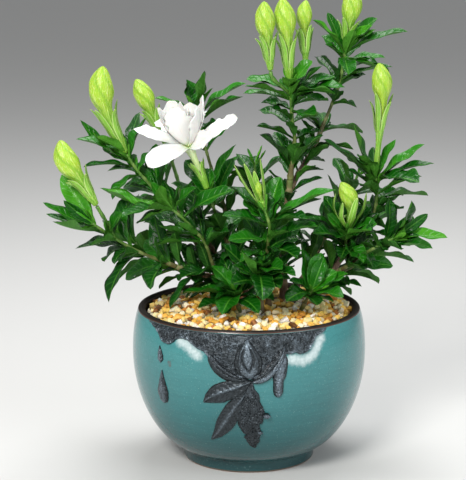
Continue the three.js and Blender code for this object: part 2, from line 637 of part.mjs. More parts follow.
function whorlLeafOptions(shoot, share, azimuth) {
  const { centre: root, tangent, side, front } = crossAxes(shoot.curve, share);
  return [1, 0.9, 0.8, 0.68].flatMap((size) => [0, 1, 2].map(() => {
    const turn = azimuth * TURN + between(-0.35, 0.35);
    const spread = between(0.75, 1.25);
    const length = between(31, 38) * size;
    const out = side.clone().multiplyScalar(Math.cos(turn)).addScaledVector(front, Math.sin(turn));
    const ahead = tangent.clone().multiplyScalar(Math.cos(spread)).addScaledVector(out, Math.sin(spread));
    const tip = root.clone().addScaledVector(ahead, length);
    const face = tangent.clone().addScaledVector(UP, 0.6);
    return { root, tip, face, width: length * between(0.26, 0.32), arch: between(0.1, 0.2) };
  }));
}

function growWhorls(name, shoot) {
  const { step, azimuths, shift } = FRONT_LEAVES[name] ? PAIRS : THREES;
  const first = shoot.wood * shoot.length + 4;
  const whorls = Math.ceil((shoot.length - 3 - first) / step);
  for (let whorl = 0; whorl < whorls; whorl++) {
    const share = (first + whorl * step) / shoot.length;
    for (const azimuth of azimuths) {
      growLeaf(`spray_${name}`, whorlLeafOptions(shoot, share, azimuth + whorl * shift).filter(inReach));
    }
  }
}

// ---------------------------------------------------------------- buds and flower
// A bud from its neck to near its tip: [distance from the tip, radius], both as shares of the head's radius.
const BUD_PROFILE = [[3.8, 0.42], [2.5, 0.96], [1.5, 0.92], [0.5, 0.42]];

// The foot, neck, middle of the head and tip of each bud, and the radius of its head.
const BUDS = {
  bud_far_left: {
    route: [[-100, -46, 183.3], [-110.6, -48, 200.8], [-119.4, -49, 214.1], [-123, -49, 227.2]], head: 8.4,
  },
  bud_left: {
    route: [[-82, -18, 213.4], [-93.6, -22, 238.7], [-97.9, -23, 256.7], [-96.3, -24, 272.6]], head: 8.4,
  },
  bud_by_flower: {
    route: [[-59, 8, 220.4], [-65.8, 6, 237.1], [-70.4, 5, 248.1], [-76.3, 4, 261]], head: 6.4,
  },
  bud_top_left: {
    route: [[14, -4, 267.2], [12.3, -7, 284.7], [10.2, -9, 300], [9.5, -10, 313.9]], head: 6.6,
  },
  bud_top_mid: {
    route: [[27, 4, 259.4], [25.1, 2, 287.4], [23.7, 1, 300.8], [21.6, 0, 315.4]], head: 7.2,
  },
  bud_top_right: {
    route: [[38, 16, 271.4], [37.7, 17, 288.8], [37, 17, 301.6], [38.3, 18, 312.9]], head: 5.2,
  },
  bud_high_right: {
    route: [[66, 30, 279.4], [68.2, 29, 297.3], [70.1, 29, 308.8], [69.9, 29, 321.6]], head: 6.8,
  },
  bud_right: {
    route: [[86, 6, 197.4], [88.4, 4, 229.9], [89.2, 3, 257.1], [86.9, 2, 272]], head: 6.8,
  },
  bud_small_right: {
    route: [[66, -18, 163.4], [68, -20, 172.4], [67.1, -21, 182.8], [60.9, -22, 195.1]], head: 6.2,
  },
  bud_front: {
    route: [[9, -46, 182.4], [7.5, -47, 188], [6, -48, 194], [5.5, -48, 200]], head: 3.4,
  },
};

// The furled corolla: ridges of rolled petals that wind round it towards the tip.
function budCore(curve, head) {
  const sides = BUD.ridges * 2;
  const neck = BUD_PROFILE[0][0];
  const length = curve.getLength();
  const rings = [[(length - BUD.seat) / head, BUD.foot / head], ...BUD_PROFILE].map(([distance, size]) => {
    const { centre, side, front } = crossAxes(curve, 1 - (distance * head) / length);
    const twist = Math.max(0, neck - distance) * BUD.twist;
    return Array.from({ length: sides }, (_, k) => {
      const angle = (k / sides) * TURN + twist;
      const radius = size * head * (k % 2 && distance < neck ? 0.82 : 1);
      return centre.clone().addScaledVector(side, radius * Math.cos(angle))
        .addScaledVector(front, radius * Math.sin(angle));
    });
  });
  return loft(rings, { tip: curve.getPointAt(1) });
}

// Narrow green lobes that stand up round the foot of a head, from one share of the height to another.
function calyxLobes(curve, head, from, to) {
  return Array.from({ length: CALYX_LOBE.count }, (_, k) => {
    const angle = ((k + 0.3) / CALYX_LOBE.count) * TURN;
    const point = (share, radius, across = 0) => {
      const { centre, side, front } = crossAxes(curve, share);
      const out = side.clone().multiplyScalar(Math.cos(angle)).addScaledVector(front, Math.sin(angle));
      const round = side.clone().multiplyScalar(-Math.sin(angle)).addScaledVector(front, Math.cos(angle));
      return centre.addScaledVector(out, radius).addScaledVector(round, across);
    };
    const ring = (share, radius, width) => [
      point(share, radius, -width), point(share, radius + CALYX_LOBE.thickness / 2),
      point(share, radius, width), point(share, radius - CALYX_LOBE.thickness / 2),
    ];
    const knee = (from + to) / 2;
    const ends = { root: point(from, 0), tip: point(to, 1.1 * head + 0.6) };
    return loft([ring(knee, 0.3 * head + 2.2, CALYX_LOBE.width / 2)], ends);
  });
}

function bud({ route, head }) {
  const curve = smooth(route);
  const lobeTop = 1 - (2.5 * head) / curve.getLength();
  return mainBody(fuse([budCore(curve, head), ...calyxLobes(curve, head, 0.12, lobeTop)]));
}

// The open flower. Its stalk is the tip of the flower shoot; the petals stand on a slender white tube.
const FLOWER = { calyxFoot: [-28, -24, 190.4], calyxTop: [-33, -25, 203], heart: [-41, -27.5, 225] };

// The tip and width of each petal, and how far it bows up from the straight line, as a share of its length.
const OUTER_PETALS = [
  { tip: [-77, -28, 231.5], width: 17, bow: 0.1 },
  { tip: [-65, -60, 214], width: 18, bow: 0.22 },
  { tip: [-8, -31, 240], width: 18, bow: -0.08 },
  { tip: [-60, 1, 235], width: 16, bow: 0.1 },
  { tip: [-32, 8, 238], width: 16, bow: 0.08 },
  { tip: [-25, -50, 242], width: 15, bow: -0.2 },
];
const INNER_PETALS = [
  { tip: [-59, -30, 247], width: 15, bow: -0.24 },
  { tip: [-50, -40, 247], width: 14, bow: -0.24 },
  { tip: [-33, -38, 250], width: 14, bow: -0.22 },
  { tip: [-29, -24, 253], width: 14, bow: -0.22 },
  { tip: [-40, -13, 252], width: 15, bow: -0.24 },
  { tip: [-54, -18, 250], width: 14, bow: -0.24 },
  { tip: [-46, -29, 251], width: 9, bow: -0.14 },
  { tip: [-40, -26, 248], width: 8, bow: 0.14 },
];
const PETAL_WIDTH = [[0, 0.3], [0.34, 0.78], [0.66, 1], [0.88, 0.8], [1, 0]];

// A petal is a shallow trough, six points to a section, with its broadest part past the middle and a blunt
// tip.
function petal({ tip, width, bow }) {
  const [root, end] = [vector(FLOWER.heart), vector(tip)];
  const along = end.clone().sub(root);
  const ahead = along.clone().normalize();
  const axis = root.clone().sub(vector(FLOWER.calyxTop)).normalize();
  const upward = axis.clone().addScaledVector(ahead, -axis.dot(ahead)).normalize();
  const side = new THREE.Vector3().crossVectors(ahead, upward);
  const knee = root.clone().lerp(end, 0.5).addScaledVector(upward, bow * along.length());
  const rib = new THREE.QuadraticBezierCurve3(root, knee, end);
  const rings = [0, 0.34, 0.66, 0.88].map((share) => {
    const centre = rib.getPoint(share);
    const normal = new THREE.Vector3().crossVectors(side, rib.getTangent(share)).normalize();
    const half = (lookUp(PETAL_WIDTH, share) * width) / 2;
    const at = (across, lift) =>
      centre.clone().addScaledVector(side, across * half).addScaledVector(normal, lift);
    const cup = 0.28 * half;
    const under = 0.1 - PETAL.thickness;
    return [at(-1, cup), at(-0.5, 0.1), at(0.5, 0.1), at(1, cup), at(0.5, under), at(-0.5, under)];
  });
  return loft(rings, { tip: end });
}

function flowerTube() {
  const axis = smooth([FLOWER.calyxTop, FLOWER.heart]);
  return tube(axis, BUD.seat, axis.getLength(), (along) => 1.9 + 2.4 * (along / axis.getLength()) ** 3);
}

function flowerPetals() {
  return mainBody(fuse([flowerTube(), ...[...OUTER_PETALS, ...INNER_PETALS].map(petal)]));
}

function flowerCalyx() {
  const curve = smooth([FLOWER.calyxFoot, FLOWER.calyxTop]);
  const cup = tube(curve, BUD.seat, curve.getLength(), (along) => 1.7 + 1.3 * (along / curve.getLength()));
  const beyond = smooth([FLOWER.calyxFoot, FLOWER.calyxTop, FLOWER.heart]);
  return mainBody(fuse([cup, ...calyxLobes(beyond, 5.6, 0.2, 0.62)]));
}

// ---------------------------------------------------------------- the whole plant
const gardenia = new THREE.Group();

function addPiece(name, solid, finish) {
  const { vertProperties, triVerts } = solid.getMesh();
  const geometry = new THREE.BufferGeometry();
  geometry.setAttribute('position', new THREE.BufferAttribute(vertProperties, 3));
  geometry.setIndex(new THREE.BufferAttribute(triVerts, 1));
  geometry.computeVertexNormals();
  const mesh = new THREE.Mesh(geometry, new THREE.MeshStandardMaterial(finish));
  mesh.name = name;
  gardenia.add(mesh);
}

function addAndPlace(name, solid, finish) {
  addPiece(name, solid, finish);
  place(name, solid);
}

addAndPlace('pot', bowl(), GLAZE);
addPiece('soil', soil(), EARTH);
addAndPlace('gravel', gravel(), STONE);
for (const [name, shoots] of Object.entries(STEMS)) {
  addAndPlace(name, mainBody(fuse(shoots.map((shoot) => woodyPart(SHOOTS[shoot])))), BARK);
}
for (const [name, sizes] of Object.entries(BUDS)) addAndPlace(name, bud(sizes), BUD_GREEN);
addAndPlace('flower_petals', flowerPetals(), PETAL_WHITE);
addAndPlace('flower_calyx', flowerCalyx(), CALYX_GREEN);

for (const [name, shoot] of Object.entries(SHOOTS)) {
  for (const stem of greenPart(shoot)) place(`spray_${name}`, stem);
}
for (const [name, leaves] of Object.entries(FRONT_LEAVES)) {
  for (const row of leaves) growLeaf(`spray_${name}`, frontLeafOptions(SHOOTS[name], row));
}
THREE.MathUtils.seededRandom(SEED);
for (const [name, shoot] of Object.entries(SHOOTS)) growWhorls(name, shoot);
for (const name of Object.keys(SHOOTS)) {
  const parts = placed.filter((piece) => piece.node === `spray_${name}`);
  addPiece(`spray_${name}`, mainBody(fuse(parts.map((piece) => piece.solid))), FOLIAGE);
}

export default gardenia;
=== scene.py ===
"""A potted gardenia in bud and flower: the fine look of every piece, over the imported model.

Lengths in the tables are millimetres and become metres where a mesh is made. The origin is the centre of
the bowl's foot ring on the surface that it stands on, +Z is up and the bowl's relief looks towards -Y.
"""

import logging
import math
import random
from collections.abc import Callable, Mapping, Sequence
from dataclasses import dataclass, replace
from enum import Enum
from typing import Any

import bmesh
import bpy
from mathutils import Matrix, Vector, noise


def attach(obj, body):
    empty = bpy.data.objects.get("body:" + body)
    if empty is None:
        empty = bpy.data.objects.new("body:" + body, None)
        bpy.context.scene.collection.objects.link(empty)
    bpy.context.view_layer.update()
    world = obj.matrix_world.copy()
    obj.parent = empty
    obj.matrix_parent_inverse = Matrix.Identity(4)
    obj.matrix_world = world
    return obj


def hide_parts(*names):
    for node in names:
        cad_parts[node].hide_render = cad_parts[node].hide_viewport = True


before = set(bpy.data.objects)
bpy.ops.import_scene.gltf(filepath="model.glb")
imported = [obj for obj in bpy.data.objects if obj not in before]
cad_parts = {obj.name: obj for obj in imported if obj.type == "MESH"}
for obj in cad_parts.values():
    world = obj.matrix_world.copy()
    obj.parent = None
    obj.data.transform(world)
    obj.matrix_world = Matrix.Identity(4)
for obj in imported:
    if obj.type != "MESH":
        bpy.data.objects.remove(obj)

LOG = logging.getLogger("gardenia")
MM = 0.001  # metres to a millimetre
TURN = 2 * math.pi
CLOSED = 0.001  # a share below this one is the closed end of a form
WELD = 1e-7  # metres between points that are joined to one

Material = bpy.types.Material
Colour = tuple[float, float, float]
Point = tuple[float, float, float]
Place = Callable[[float, float], Vector]
Mark = float | Callable[[float, float], float]


class Slot(Enum):
    """The record's material slots."""

    GLAZE = "glaze"
    SOIL = "soil"
    STONE = "stone"
    BARK = "bark"
    FOLIAGE = "foliage"
    BUD = "bud"
    CALYX = "calyx"
    PETAL = "petal"


# ---------- smooth functions and paths
def blend(low: float, high: float, share: float) -> float:
    """The value at a share of the way from low to high."""
    return low + (high - low) * share


def hill(distance: float, width: float) -> float:
    """A bell of height 1 at no distance, which falls away over a width."""
    return math.exp(-((distance / width) ** 2))


def ease(low: float, high: float, x: float) -> float:
    """A smooth step from 0 at low to 1 at high."""
    share = min(max((x - low) / (high - low), 0.0), 1.0)
    return share * share * (3 - 2 * share)


def grain(x: float, y: float, z: float = 0.0) -> float:
    """Smooth noise, from -1 to 1, at a place."""
    return noise.noise(Vector((x, y, z)))


def lap(v: float, front: float = 0.5) -> tuple[bool, float]:
    """Where a share round a flat form lies: it runs over the front and then back behind.

    Args:
        v: The share round it.
        front: The share that covers the front.

    Returns:
        Whether it is in front, and the place across, from -1 to 1.
    """
    if v <= front:
        return True, 2 * v / front - 1
    return False, 1 - 2 * (v - front) / (1 - front)


class Profile:
    """A smooth function through rows of (position, value), without overshoot between them."""

    def __init__(self, *rows: tuple[float, float]) -> None:
        """Works out the slopes.

        Args:
            *rows: The rows, in rising order of position.
        """
        self.rows = rows
        steps = [(b[1] - a[1]) / (b[0] - a[0]) for a, b in zip(rows, rows[1:])]
        inner = [0.0 if a * b <= 0 else 2 * a * b / (a + b) for a, b in zip(steps, steps[1:])]
        self.slopes = [steps[0], *inner, steps[-1]]

    def __call__(self, x: float) -> float:
        """The function's value.

        Args:
            x: A position; past either end the end's own value holds.

        Returns:
            The value between the rows on either side.
        """
        rows = self.rows
        if x <= rows[0][0]:
            return rows[0][1]
        if x >= rows[-1][0]:
            return rows[-1][1]
        i = next(k for k in range(len(rows) - 1) if x <= rows[k + 1][0])
        (x0, y0), (x1, y1) = rows[i], rows[i + 1]
        t = (x - x0) / (x1 - x0)
        swing = self.slopes[i] * t * (1 - t) ** 2 - self.slopes[i + 1] * t * t * (1 - t)
        return y0 * (1 + 2 * t) * (1 - t) ** 2 + y1 * t * t * (3 - 2 * t) + swing * (x1 - x0)


@dataclass(frozen=True)
class Station:
    """A point of a path, with its direction and two axes across it."""

    centre: Vector
    along: Vector
    side: Vector
    front: Vector

    @staticmethod
    def facing(centre: Vector, along: Vector) -> "Station":
        """The station at a centre, its side axis kept square to the depth axis.

        Args:
            centre: The point.
            along: The direction of the path there, of any length.

        Returns:
            The station.
        """
        ahead = along.normalized()
        side = Vector((0, 1, 0)).cross(ahead).normalized()
        return Station(centre, ahead, side, ahead.cross(side))

    def out(self, angle: float) -> Vector:
        """The direction away from the path at an angle round it."""
        return self.side * math.cos(angle) + self.front * math.sin(angle)

    def leaning(self, out: Vector, spread: float) -> Vector:
        """The direction of the path, leant by an angle towards a direction away from it."""
        return self.along * math.cos(spread) + out * math.sin(spread)


class Route:
    """A smooth path through points, read by the share of its length."""

    PER_STRETCH = 14  # points between two knots
    AHEAD = 0.02  # the share of the length over which a direction is read

    def __init__(self, knots: Sequence[Point]) -> None:
        """Draws the path.

        Args:
            knots: The points that it passes, in millimetres.
        """
        inner = [Vector(knot) for knot in knots]
        points = [2 * inner[0] - inner[1], *inner, 2 * inner[-1] - inner[-2]]
        self.points = [inner[0]]
        for i in range(len(inner) - 1):
            for step in range(1, self.PER_STRETCH + 1):
                self.points.append(self.between(points[i : i + 4], step / self.PER_STRETCH))
        self.reach = [0.0]
        for a, b in zip(self.points, self.points[1:]):
            self.reach.append(self.reach[-1] + (b - a).length)
        self.length = self.reach[-1]

    @staticmethod
    def between(quad: Sequence[Vector], share: float) -> Vector:
        """The point between the middle two of four knots, which are spaced by the root of their distance.

        Args:
            quad: Four knots.
            share: The share of the way from the second to the third.

        Returns:
            The point.
        """
        spans = [math.sqrt((b - a).length) for a, b in zip(quad, quad[1:])]
        times = [0.0, spans[0], spans[0] + spans[1], sum(spans)]
        now = blend(times[1], times[2], share)
        row = list(quad)
        for span in (1, 2):
            pairs = enumerate(zip(row, row[1:]))
            row = [a.lerp(b, (now - times[k]) / (times[k + span] - times[k])) for k, (a, b) in pairs]
        return row[0].lerp(row[1], share)

    def at(self, share: float) -> Vector:
        """The point at a share of the length.

        Args:
            share: The share, kept within 0 to 1.

        Returns:
            The point.
        """
        target = min(max(share, 0.0), 1.0) * self.length
        i = next((k for k in range(1, len(self.reach)) if self.reach[k] >= target), len(self.reach) - 1)
        step = self.reach[i] - self.reach[i - 1]
        return self.points[i - 1].lerp(self.points[i], (target - self.reach[i - 1]) / step)

    def station(self, share: float) -> Station:
        """The station at a share of the length."""
        ahead = self.at(min(share + self.AHEAD, 1)) - self.at(max(share - self.AHEAD, 0))
        return Station.facing(self.at(share), ahead)

    def nearest(self, point: Vector, steps: int) -> float:
        """The share of the length, among even steps, that is nearest to a point."""
        return min((k / steps for k in range(steps + 1)), key=lambda share: (self.at(share) - point).length)


def bowed(root: Vector, knee: Vector, tip: Vector, t: float) -> tuple[Vector, Vector]:
    """The point of a bowed line, and its direction, at a share from its root to its tip."""
    ahead = (knee - root) * (1 - t) + (tip - knee) * t
    return root * (1 - t) ** 2 + knee * (2 * t * (1 - t)) + tip * t * t, ahead.normalized()


# ---------- shader recipes
def joined(operation: str, swap: bool = False) -> Callable[["Wire", "Wire | float"], "Wire"]:
    """One of Python's operators as a Math node.

    Args:
        operation: What the node does with its two values.
        swap: Whether the wire is the second of them.

    Returns:
        The method of the wire.
    """

    def join(wire: "Wire", other: "Wire | float") -> "Wire":
        """The result for the wire and another value."""
        return wire.math(operation, *((other, wire) if swap else (wire, other)))

    return join


class Wire:
    """One output socket. Python's operators join it to new Math nodes."""

    def __init__(self, recipe: "Recipe", socket: bpy.types.NodeSocket) -> None:
        """Keeps the recipe that owns the socket."""
        self.recipe = recipe
        self.socket = socket

    def math(self, operation: str, *values: "Wire | float") -> "Wire":
        """The result of a Math node over some values."""
        return self.recipe.node("ShaderNodeMath", {"operation": operation}, dict(enumerate(values)))

    __add__ = __radd__ = joined("ADD")
    __sub__, __rsub__ = joined("SUBTRACT"), joined("SUBTRACT", swap=True)
    __mul__ = __rmul__ = joined("MULTIPLY")

    def __abs__(self) -> "Wire":
        """This value without its sign."""
        return self.math("ABSOLUTE", self)

    def fraction(self) -> "Wire":
        """The part of this value after the point."""
        return self.math("FRACT", self)

    def rise(self, low: float, high: float) -> "Wire":
        """A smooth step from 0 where this value is low to 1 where it is high."""
        values = {0: self, 1: low, 2: high, 3: 0.0, 4: 1.0}
        return self.recipe.node("ShaderNodeMapRange", {"interpolation_type": "SMOOTHSTEP"}, values)

    def fall(self, low: float, high: float) -> "Wire":
        """A smooth step from 1 where this value is low to 0 where it is high."""
        return 1 - self.rise(low, high)


class Recipe:
    """A material in the making: one Principled shader and the nodes that feed it."""

    def __init__(self, name: str) -> None:
        """Starts an empty material.

        Args:
            name: The material's name.
        """
        self.material = bpy.data.materials.new(name)
        self.material.use_nodes = True
        self.tree = self.material.node_tree
        self.tree.nodes.clear()

    def node(self, kind: str, settings: Mapping[str, Any], values: Mapping[int | str, Any],
             output: int | str = 0) -> Wire:
        """Adds a node.

        Args:
            kind: The node's type.
            settings: What is set on the node first; "stops" are a ramp's (position, colour) rows.
            values: A number, colour or wire for each input, by its number or name.
            output: The output that is wanted.

        Returns:
            That output.
        """
        made = self.tree.nodes.new(kind)
        for name, setting in settings.items():
            if name == "stops":
                self.set_stops(made.color_ramp, setting)
            else:
                setattr(made, name, setting)
        for key, value in values.items():
            socket = made.inputs[key]
            if isinstance(value, Wire):
                self.tree.links.new(value.socket, socket)
            elif socket.type == "RGBA":
                socket.default_value = (*value, 1.0)
            else:
                socket.default_value = value
        return Wire(self, made.outputs[output])

    @staticmethod
    def set_stops(ramp: bpy.types.ColorRamp, stops: Sequence[tuple[float, Colour]]) -> None:
        """Gives a colour ramp its stops.

        Args:
            ramp: The ramp.
            stops: Rows of (position, colour), in rising order.
        """
        while len(ramp.elements) < len(stops):
            ramp.elements.new(1.0)
        for element, (position, colour) in zip(ramp.elements, stops):
            element.position = position
            element.color = (*colour, 1.0)

    def spot(self) -> Wire:
        """The place on the piece, in metres."""
        return self.node("ShaderNodeTexCoord", {}, {}, "Object")

    def unwrap(self) -> Wire:
        """The place on the piece's own UV map."""
        return self.node("ShaderNodeTexCoord", {}, {}, "UV")

    def mark(self, name: str) -> Wire:
        """A float attribute of the mesh."""
        return self.node("ShaderNodeAttribute", {"attribute_name": name}, {}, "Fac")

    def axis(self, vector: Wire, name: str) -> Wire:
        """The part of a vector along X, Y or Z."""
        return self.node("ShaderNodeSeparateXYZ", {}, {0: vector}, name)

    def across(self, unwrap: Wire) -> Wire:
        """How far a place of a blade lies from its midline, from 0 to 1, over the front or the back."""
        return abs((1 - abs(1 - self.axis(unwrap, "Y") * 2)) * 2 - 1)

    def stretched(self, vector: Wire, x: float, y: float, z: float) -> Wire:
        """A vector with each part multiplied."""
        return self.node("ShaderNodeVectorMath", {"operation": "MULTIPLY"}, {0: vector, 1: (x, y, z)})

    def clouds(self, vector: Wire, scale: float, detail: float = 2.0, bend: float = 0.0) -> Wire:
        """Soft noise, from 0 to 1."""
        values = {"Vector": vector, "Scale": scale, "Detail": detail, "Distortion": bend}
        return self.node("ShaderNodeTexNoise", {}, values)

    def cells(self, vector: Wire, scale: float, feature: str = "F1") -> Wire:
        """The distance to the nearest of scattered points, or to the edge of its cell."""
        return self.node("ShaderNodeTexVoronoi", {"feature": feature}, {"Vector": vector, "Scale": scale})

    def mix(self, share: Wire | float, first: Wire | Colour, second: Wire | Colour) -> Wire:
        """A colour between two others."""
        return self.node("ShaderNodeMix", {"data_type": "RGBA"}, {0: share, 6: first, 7: second}, 2)

    def coats(self, colour: Wire | Colour, *coats: tuple[Wire, Wire | Colour]) -> Wire:
        """Lays coats over a colour.

        Args:
            colour: The lowest colour.
            *coats: The cover and the colour of each coat.

        Returns:
            The colour on top.
        """
        for share, coat in coats:
            colour = self.mix(share, colour, coat)
        return colour

    def ramp(self, share: Wire, *stops: tuple[float, Colour]) -> Wire:
        """A colour from a row of stops."""
        return self.node("ShaderNodeValToRGB", {"stops": stops}, {0: share})

    def bump(self, height: Wire, depth: float, strength: float) -> Wire:
        """A normal from heights of 0 to 1, where 1 stands for a depth in metres."""
        return self.node("ShaderNodeBump", {}, {"Strength": strength, "Distance": depth, "Height": height})

    def done(self, **sockets: Any) -> Material:
        """Adds the Principled shader and returns the material.

        Args:
            **sockets: A value or wire for each socket, its spaces written as underscores.

        Returns:
            The finished material.
        """
        values = {name.replace("_", " "): value for name, value in sockets.items()}
        shader = self.node("ShaderNodeBsdfPrincipled", {}, values)
        output = self.tree.nodes.new("ShaderNodeOutputMaterial")
        self.tree.links.new(shader.socket, output.inputs["Surface"])
        return self.material


# ---------- finishes
@dataclass(frozen=True)
class CeladonGlaze:
    """A crackled blue-green glaze, brown lip, white bloom by the relief (partly painted highlight), bare clay
    underneath.
    """

    # From low to high the glaze turns paler up the wall; the darker foot is painted shade.
    low: Colour = (0.014, 0.060, 0.066)
    middle: Colour = (0.033, 0.162, 0.172)
    high: Colour = (0.056, 0.245, 0.252)
    lip: Colour = (0.007, 0.004, 0.003)
    rust: Colour = (0.085, 0.028, 0.014)
    # the bloom's pale colour: a pale glaze bloom, and in part a painted highlight of the lamps on the glaze
    bloom_and_highlight: Colour = (0.70, 0.77, 0.78)
    clay: Colour = (0.27, 0.15, 0.09)
    crack: Colour = (0.02, 0.09, 0.085)
    speck: Colour = (0.32, 0.52, 0.48)
    stain: Colour = (0.12, 0.035, 0.02)
    lip_patch: Colour = (0.032, 0.017, 0.011)
    lip_height: float = 0.1047
    lip_blur: float = 0.0006

    def make(self) -> Material:
        """Mixes the glaze.

        Returns:
            Its material.
        """
        r = Recipe("celadon_glaze")
        spot = r.spot()
        height = r.axis(spot, "Z")
        cloud = r.clouds(spot, 26, 3)
        rings = r.clouds(r.stretched(spot, 40, 40, 900), 1, 2)
        # painted shade: the glaze's colour darkens towards the foot, by height
        share = height * 9.6 + (cloud - 0.5) * 0.35 + (rings - 0.5) * 0.24
        crackle = r.cells(spot, 150, "DISTANCE_TO_EDGE").fall(0.0, 0.035)
        # painted highlight: the pale bloom by the relief is partly pale glaze, partly the lamps' reflection on
        # the glaze
        bloom_and_highlight_mask = (r.mark("bloom_and_highlight") + (r.clouds(spot, 520, 4) - 0.5) * 0.6).rise(0.32, 1.25)
        wavy = height + (cloud - 0.5) * self.lip_blur
        dark = r.mix(r.clouds(spot, 160, 3) * 0.4, self.lip, self.lip_patch)
        lip = wavy.rise(self.lip_height, self.lip_height + 1.5 * self.lip_blur)
        inside, bare = r.mark("inside"), r.mark("bare")
        body = r.coats(
            r.ramp(share, (0.03, self.low), (0.55, self.middle), (1.0, self.high)),
            (crackle * 0.22, self.crack), (r.clouds(spot, 1300, 1).rise(0.66, 0.74) * 0.28, self.speck),
            (bloom_and_highlight_mask * 0.85, self.bloom_and_highlight), (r.mark("stain").rise(0.3, 0.8) * 0.85, self.stain),
            (wavy.rise(self.lip_height - self.lip_blur, self.lip_height + 0.0002), self.rust),
            (lip, dark), (inside, dark), (bare, self.clay))
        shine = 0.13 + cloud * 0.10 + bloom_and_highlight_mask * 0.35 + lip * 0.42 + inside * 0.35 + bare * 0.6
        relief = r.clouds(r.stretched(spot, 25, 25, 420), 1, 2) * 0.7 + r.clouds(spot, 320, 2) * 0.3
        normal = r.bump(relief - crackle * 0.08, 0.00022, 0.6)
        coat = (1 - lip) * (1 - inside) * (1 - bare) * 0.12
        return r.done(Base_Color=body, Roughness=shine, Normal=normal, Coat_Weight=coat, Coat_Roughness=0.06,
                      Specular_IOR_Level=0.4)


@dataclass(frozen=True)
class Pewter:
    """The dark hammered metal-like slip of the relief."""

    hollow: Colour = (0.009, 0.012, 0.014)
    middle: Colour = (0.048, 0.060, 0.070)
    # the lightest colour, for wear and for painted highlight on the crests
    highlight_and_wear: Colour = (0.250, 0.320, 0.385)
    rust: Colour = (0.070, 0.026, 0.017)

    def make(self) -> Material:
        """Mixes the slip.

        Returns:
            Its material.
        """
        r = Recipe("pewter_slip")
        spot = r.spot()
        crest = r.mark("crest")
        fine = r.clouds(spot, 1100, 3)
        pits = (r.cells(spot, 520).rise(0.1, 0.6) * 0.6 + fine * 0.4) * (1 - r.mark("smooth") * 0.85)
        # painted highlight with some wear: lighter where a form stands highest, and in fine specks that stand for
        # glints on its hammered bumps
        highlight_and_wear_share = crest * 0.66 + (fine - 0.5) * 0.72 + r.clouds(spot, 90, 2) * 0.2 + 0.03
        colour = r.ramp(highlight_and_wear_share, (0.10, self.hollow), (0.50, self.middle), (0.92, self.highlight_and_wear))
        colour = r.mix(crest.fall(0.0, 0.14) * 0.6, colour, self.rust)
        return r.done(Base_Color=colour, Metallic=0.6, Roughness=0.22 + fine * 0.24,
                      Normal=r.bump(pits, 0.0013, 1.0))


@dataclass(frozen=True)
class CrushedStone:
    """Cream, amber, orange, white and brown chips, one colour to a stone."""

    tones: tuple[tuple[float, Colour], ...] = (
        (0.00, (0.150, 0.060, 0.018)), (0.07, (0.48, 0.17, 0.026)), (0.18, (0.90, 0.42, 0.050)),
        (0.40, (0.98, 0.66, 0.14)), (0.62, (0.98, 0.82, 0.40)), (0.84, (0.98, 0.90, 0.68)),
        (1.00, (0.97, 0.93, 0.88)))
    speck: Colour = (0.62, 0.30, 0.07)
    gap: Colour = (0.030, 0.018, 0.011)

    def make(self) -> Material:
        """Mixes the colours of the chips.

        Returns:
            Their material.
        """
        r = Recipe("crushed_stone")
        spot = r.spot()
        tone = r.mark("tone") + (r.clouds(spot, 420, 2) - 0.5) * 0.16
        grit = r.clouds(spot, 1600, 3)
        colour = r.mix(grit.rise(0.58, 0.75) * 0.18, r.ramp(tone, *self.tones), self.speck)
        colour = r.mix(r.mark("shade"), colour, self.gap)
        return r.done(Base_Color=colour, Roughness=0.42 + grit * 0.3, Normal=r.bump(grit, 0.0002, 0.8),
                      Subsurface_Weight=0.08, Subsurface_Scale=0.002)


@dataclass(frozen=True)
class Earth:
    """Dark potting soil."""

    name: str = "potting_soil"
    dark: Colour = (0.008, 0.005, 0.003)
    crumb: Colour = (0.060, 0.040, 0.026)

    def make(self) -> Material:
        """Mixes the soil.

        Returns:
            Its material.
        """
        r = Recipe(self.name)
        spot = r.spot()
        crumbs = r.cells(spot, 420)
        fine = r.clouds(spot, 900, 4)
        colour = r.ramp(crumbs * 0.6 + fine * 0.5, (0.2, self.dark), (0.9, self.crumb))
        return r.done(Base_Color=colour, Roughness=0.9, Normal=r.bump(crumbs + fine * 0.6, 0.0012, 1.0))


@dataclass(frozen=True)
class Bark:
    """Brown bark with pale joints, which turns green towards the leaves."""

    dark: Colour = (0.060, 0.030, 0.018)
    light: Colour = (0.215, 0.130, 0.080)
    scale: Colour = (0.25, 0.21, 0.17)
    joint: Colour = (0.36, 0.27, 0.15)
    green: Colour = (0.105, 0.200, 0.030)

    def make(self) -> Material:
        """Mixes the bark.

        Returns:
            Its material.
        """
        r = Recipe("bark")
        spot = r.spot()
        cracks = r.clouds(r.stretched(spot, 900, 900, 160), 1, 4, 0.6)
        lumps = r.clouds(spot, 140, 2)
        colour = r.coats(
            self.dark, ((cracks * 1.3 - 0.2).rise(0.1, 0.8), self.light),
            ((lumps - 0.1).rise(0.45, 0.7) * 0.35, self.scale),
            (r.mark("green") * (0.45 + lumps * 0.5), self.green), (r.mark("joint") * 0.7, self.joint))
        return r.done(Base_Color=colour, Roughness=0.55 + cracks * 0.3, Normal=r.bump(cracks, 0.0005, 0.9))


@dataclass(frozen=True)
class GreenStem:
    """A young green stem with pale joints."""

    base: Colour = (0.050, 0.150, 0.018)
    light: Colour = (0.135, 0.300, 0.040)
    wood: Colour = (0.115, 0.066, 0.032)
    joint: Colour = (0.30, 0.38, 0.12)

    def make(self) -> Material:
        """Mixes the stem's green.

        Returns:
            Its material.
        """
        r = Recipe("green_stem")
        spot = r.spot()
        lines = r.clouds(r.stretched(spot, 1100, 1100, 120), 1, 2)
        colour = r.coats(
            self.base, (lines.rise(0.3, 0.75), self.light), (r.mark("green").fall(0.1, 0.85) * 0.8, self.wood),
            (r.mark("joint") * 0.5, self.joint))
        return r.done(Base_Color=colour, Roughness=0.36 + lines * 0.15, Normal=r.bump(lines, 0.00025, 0.6))


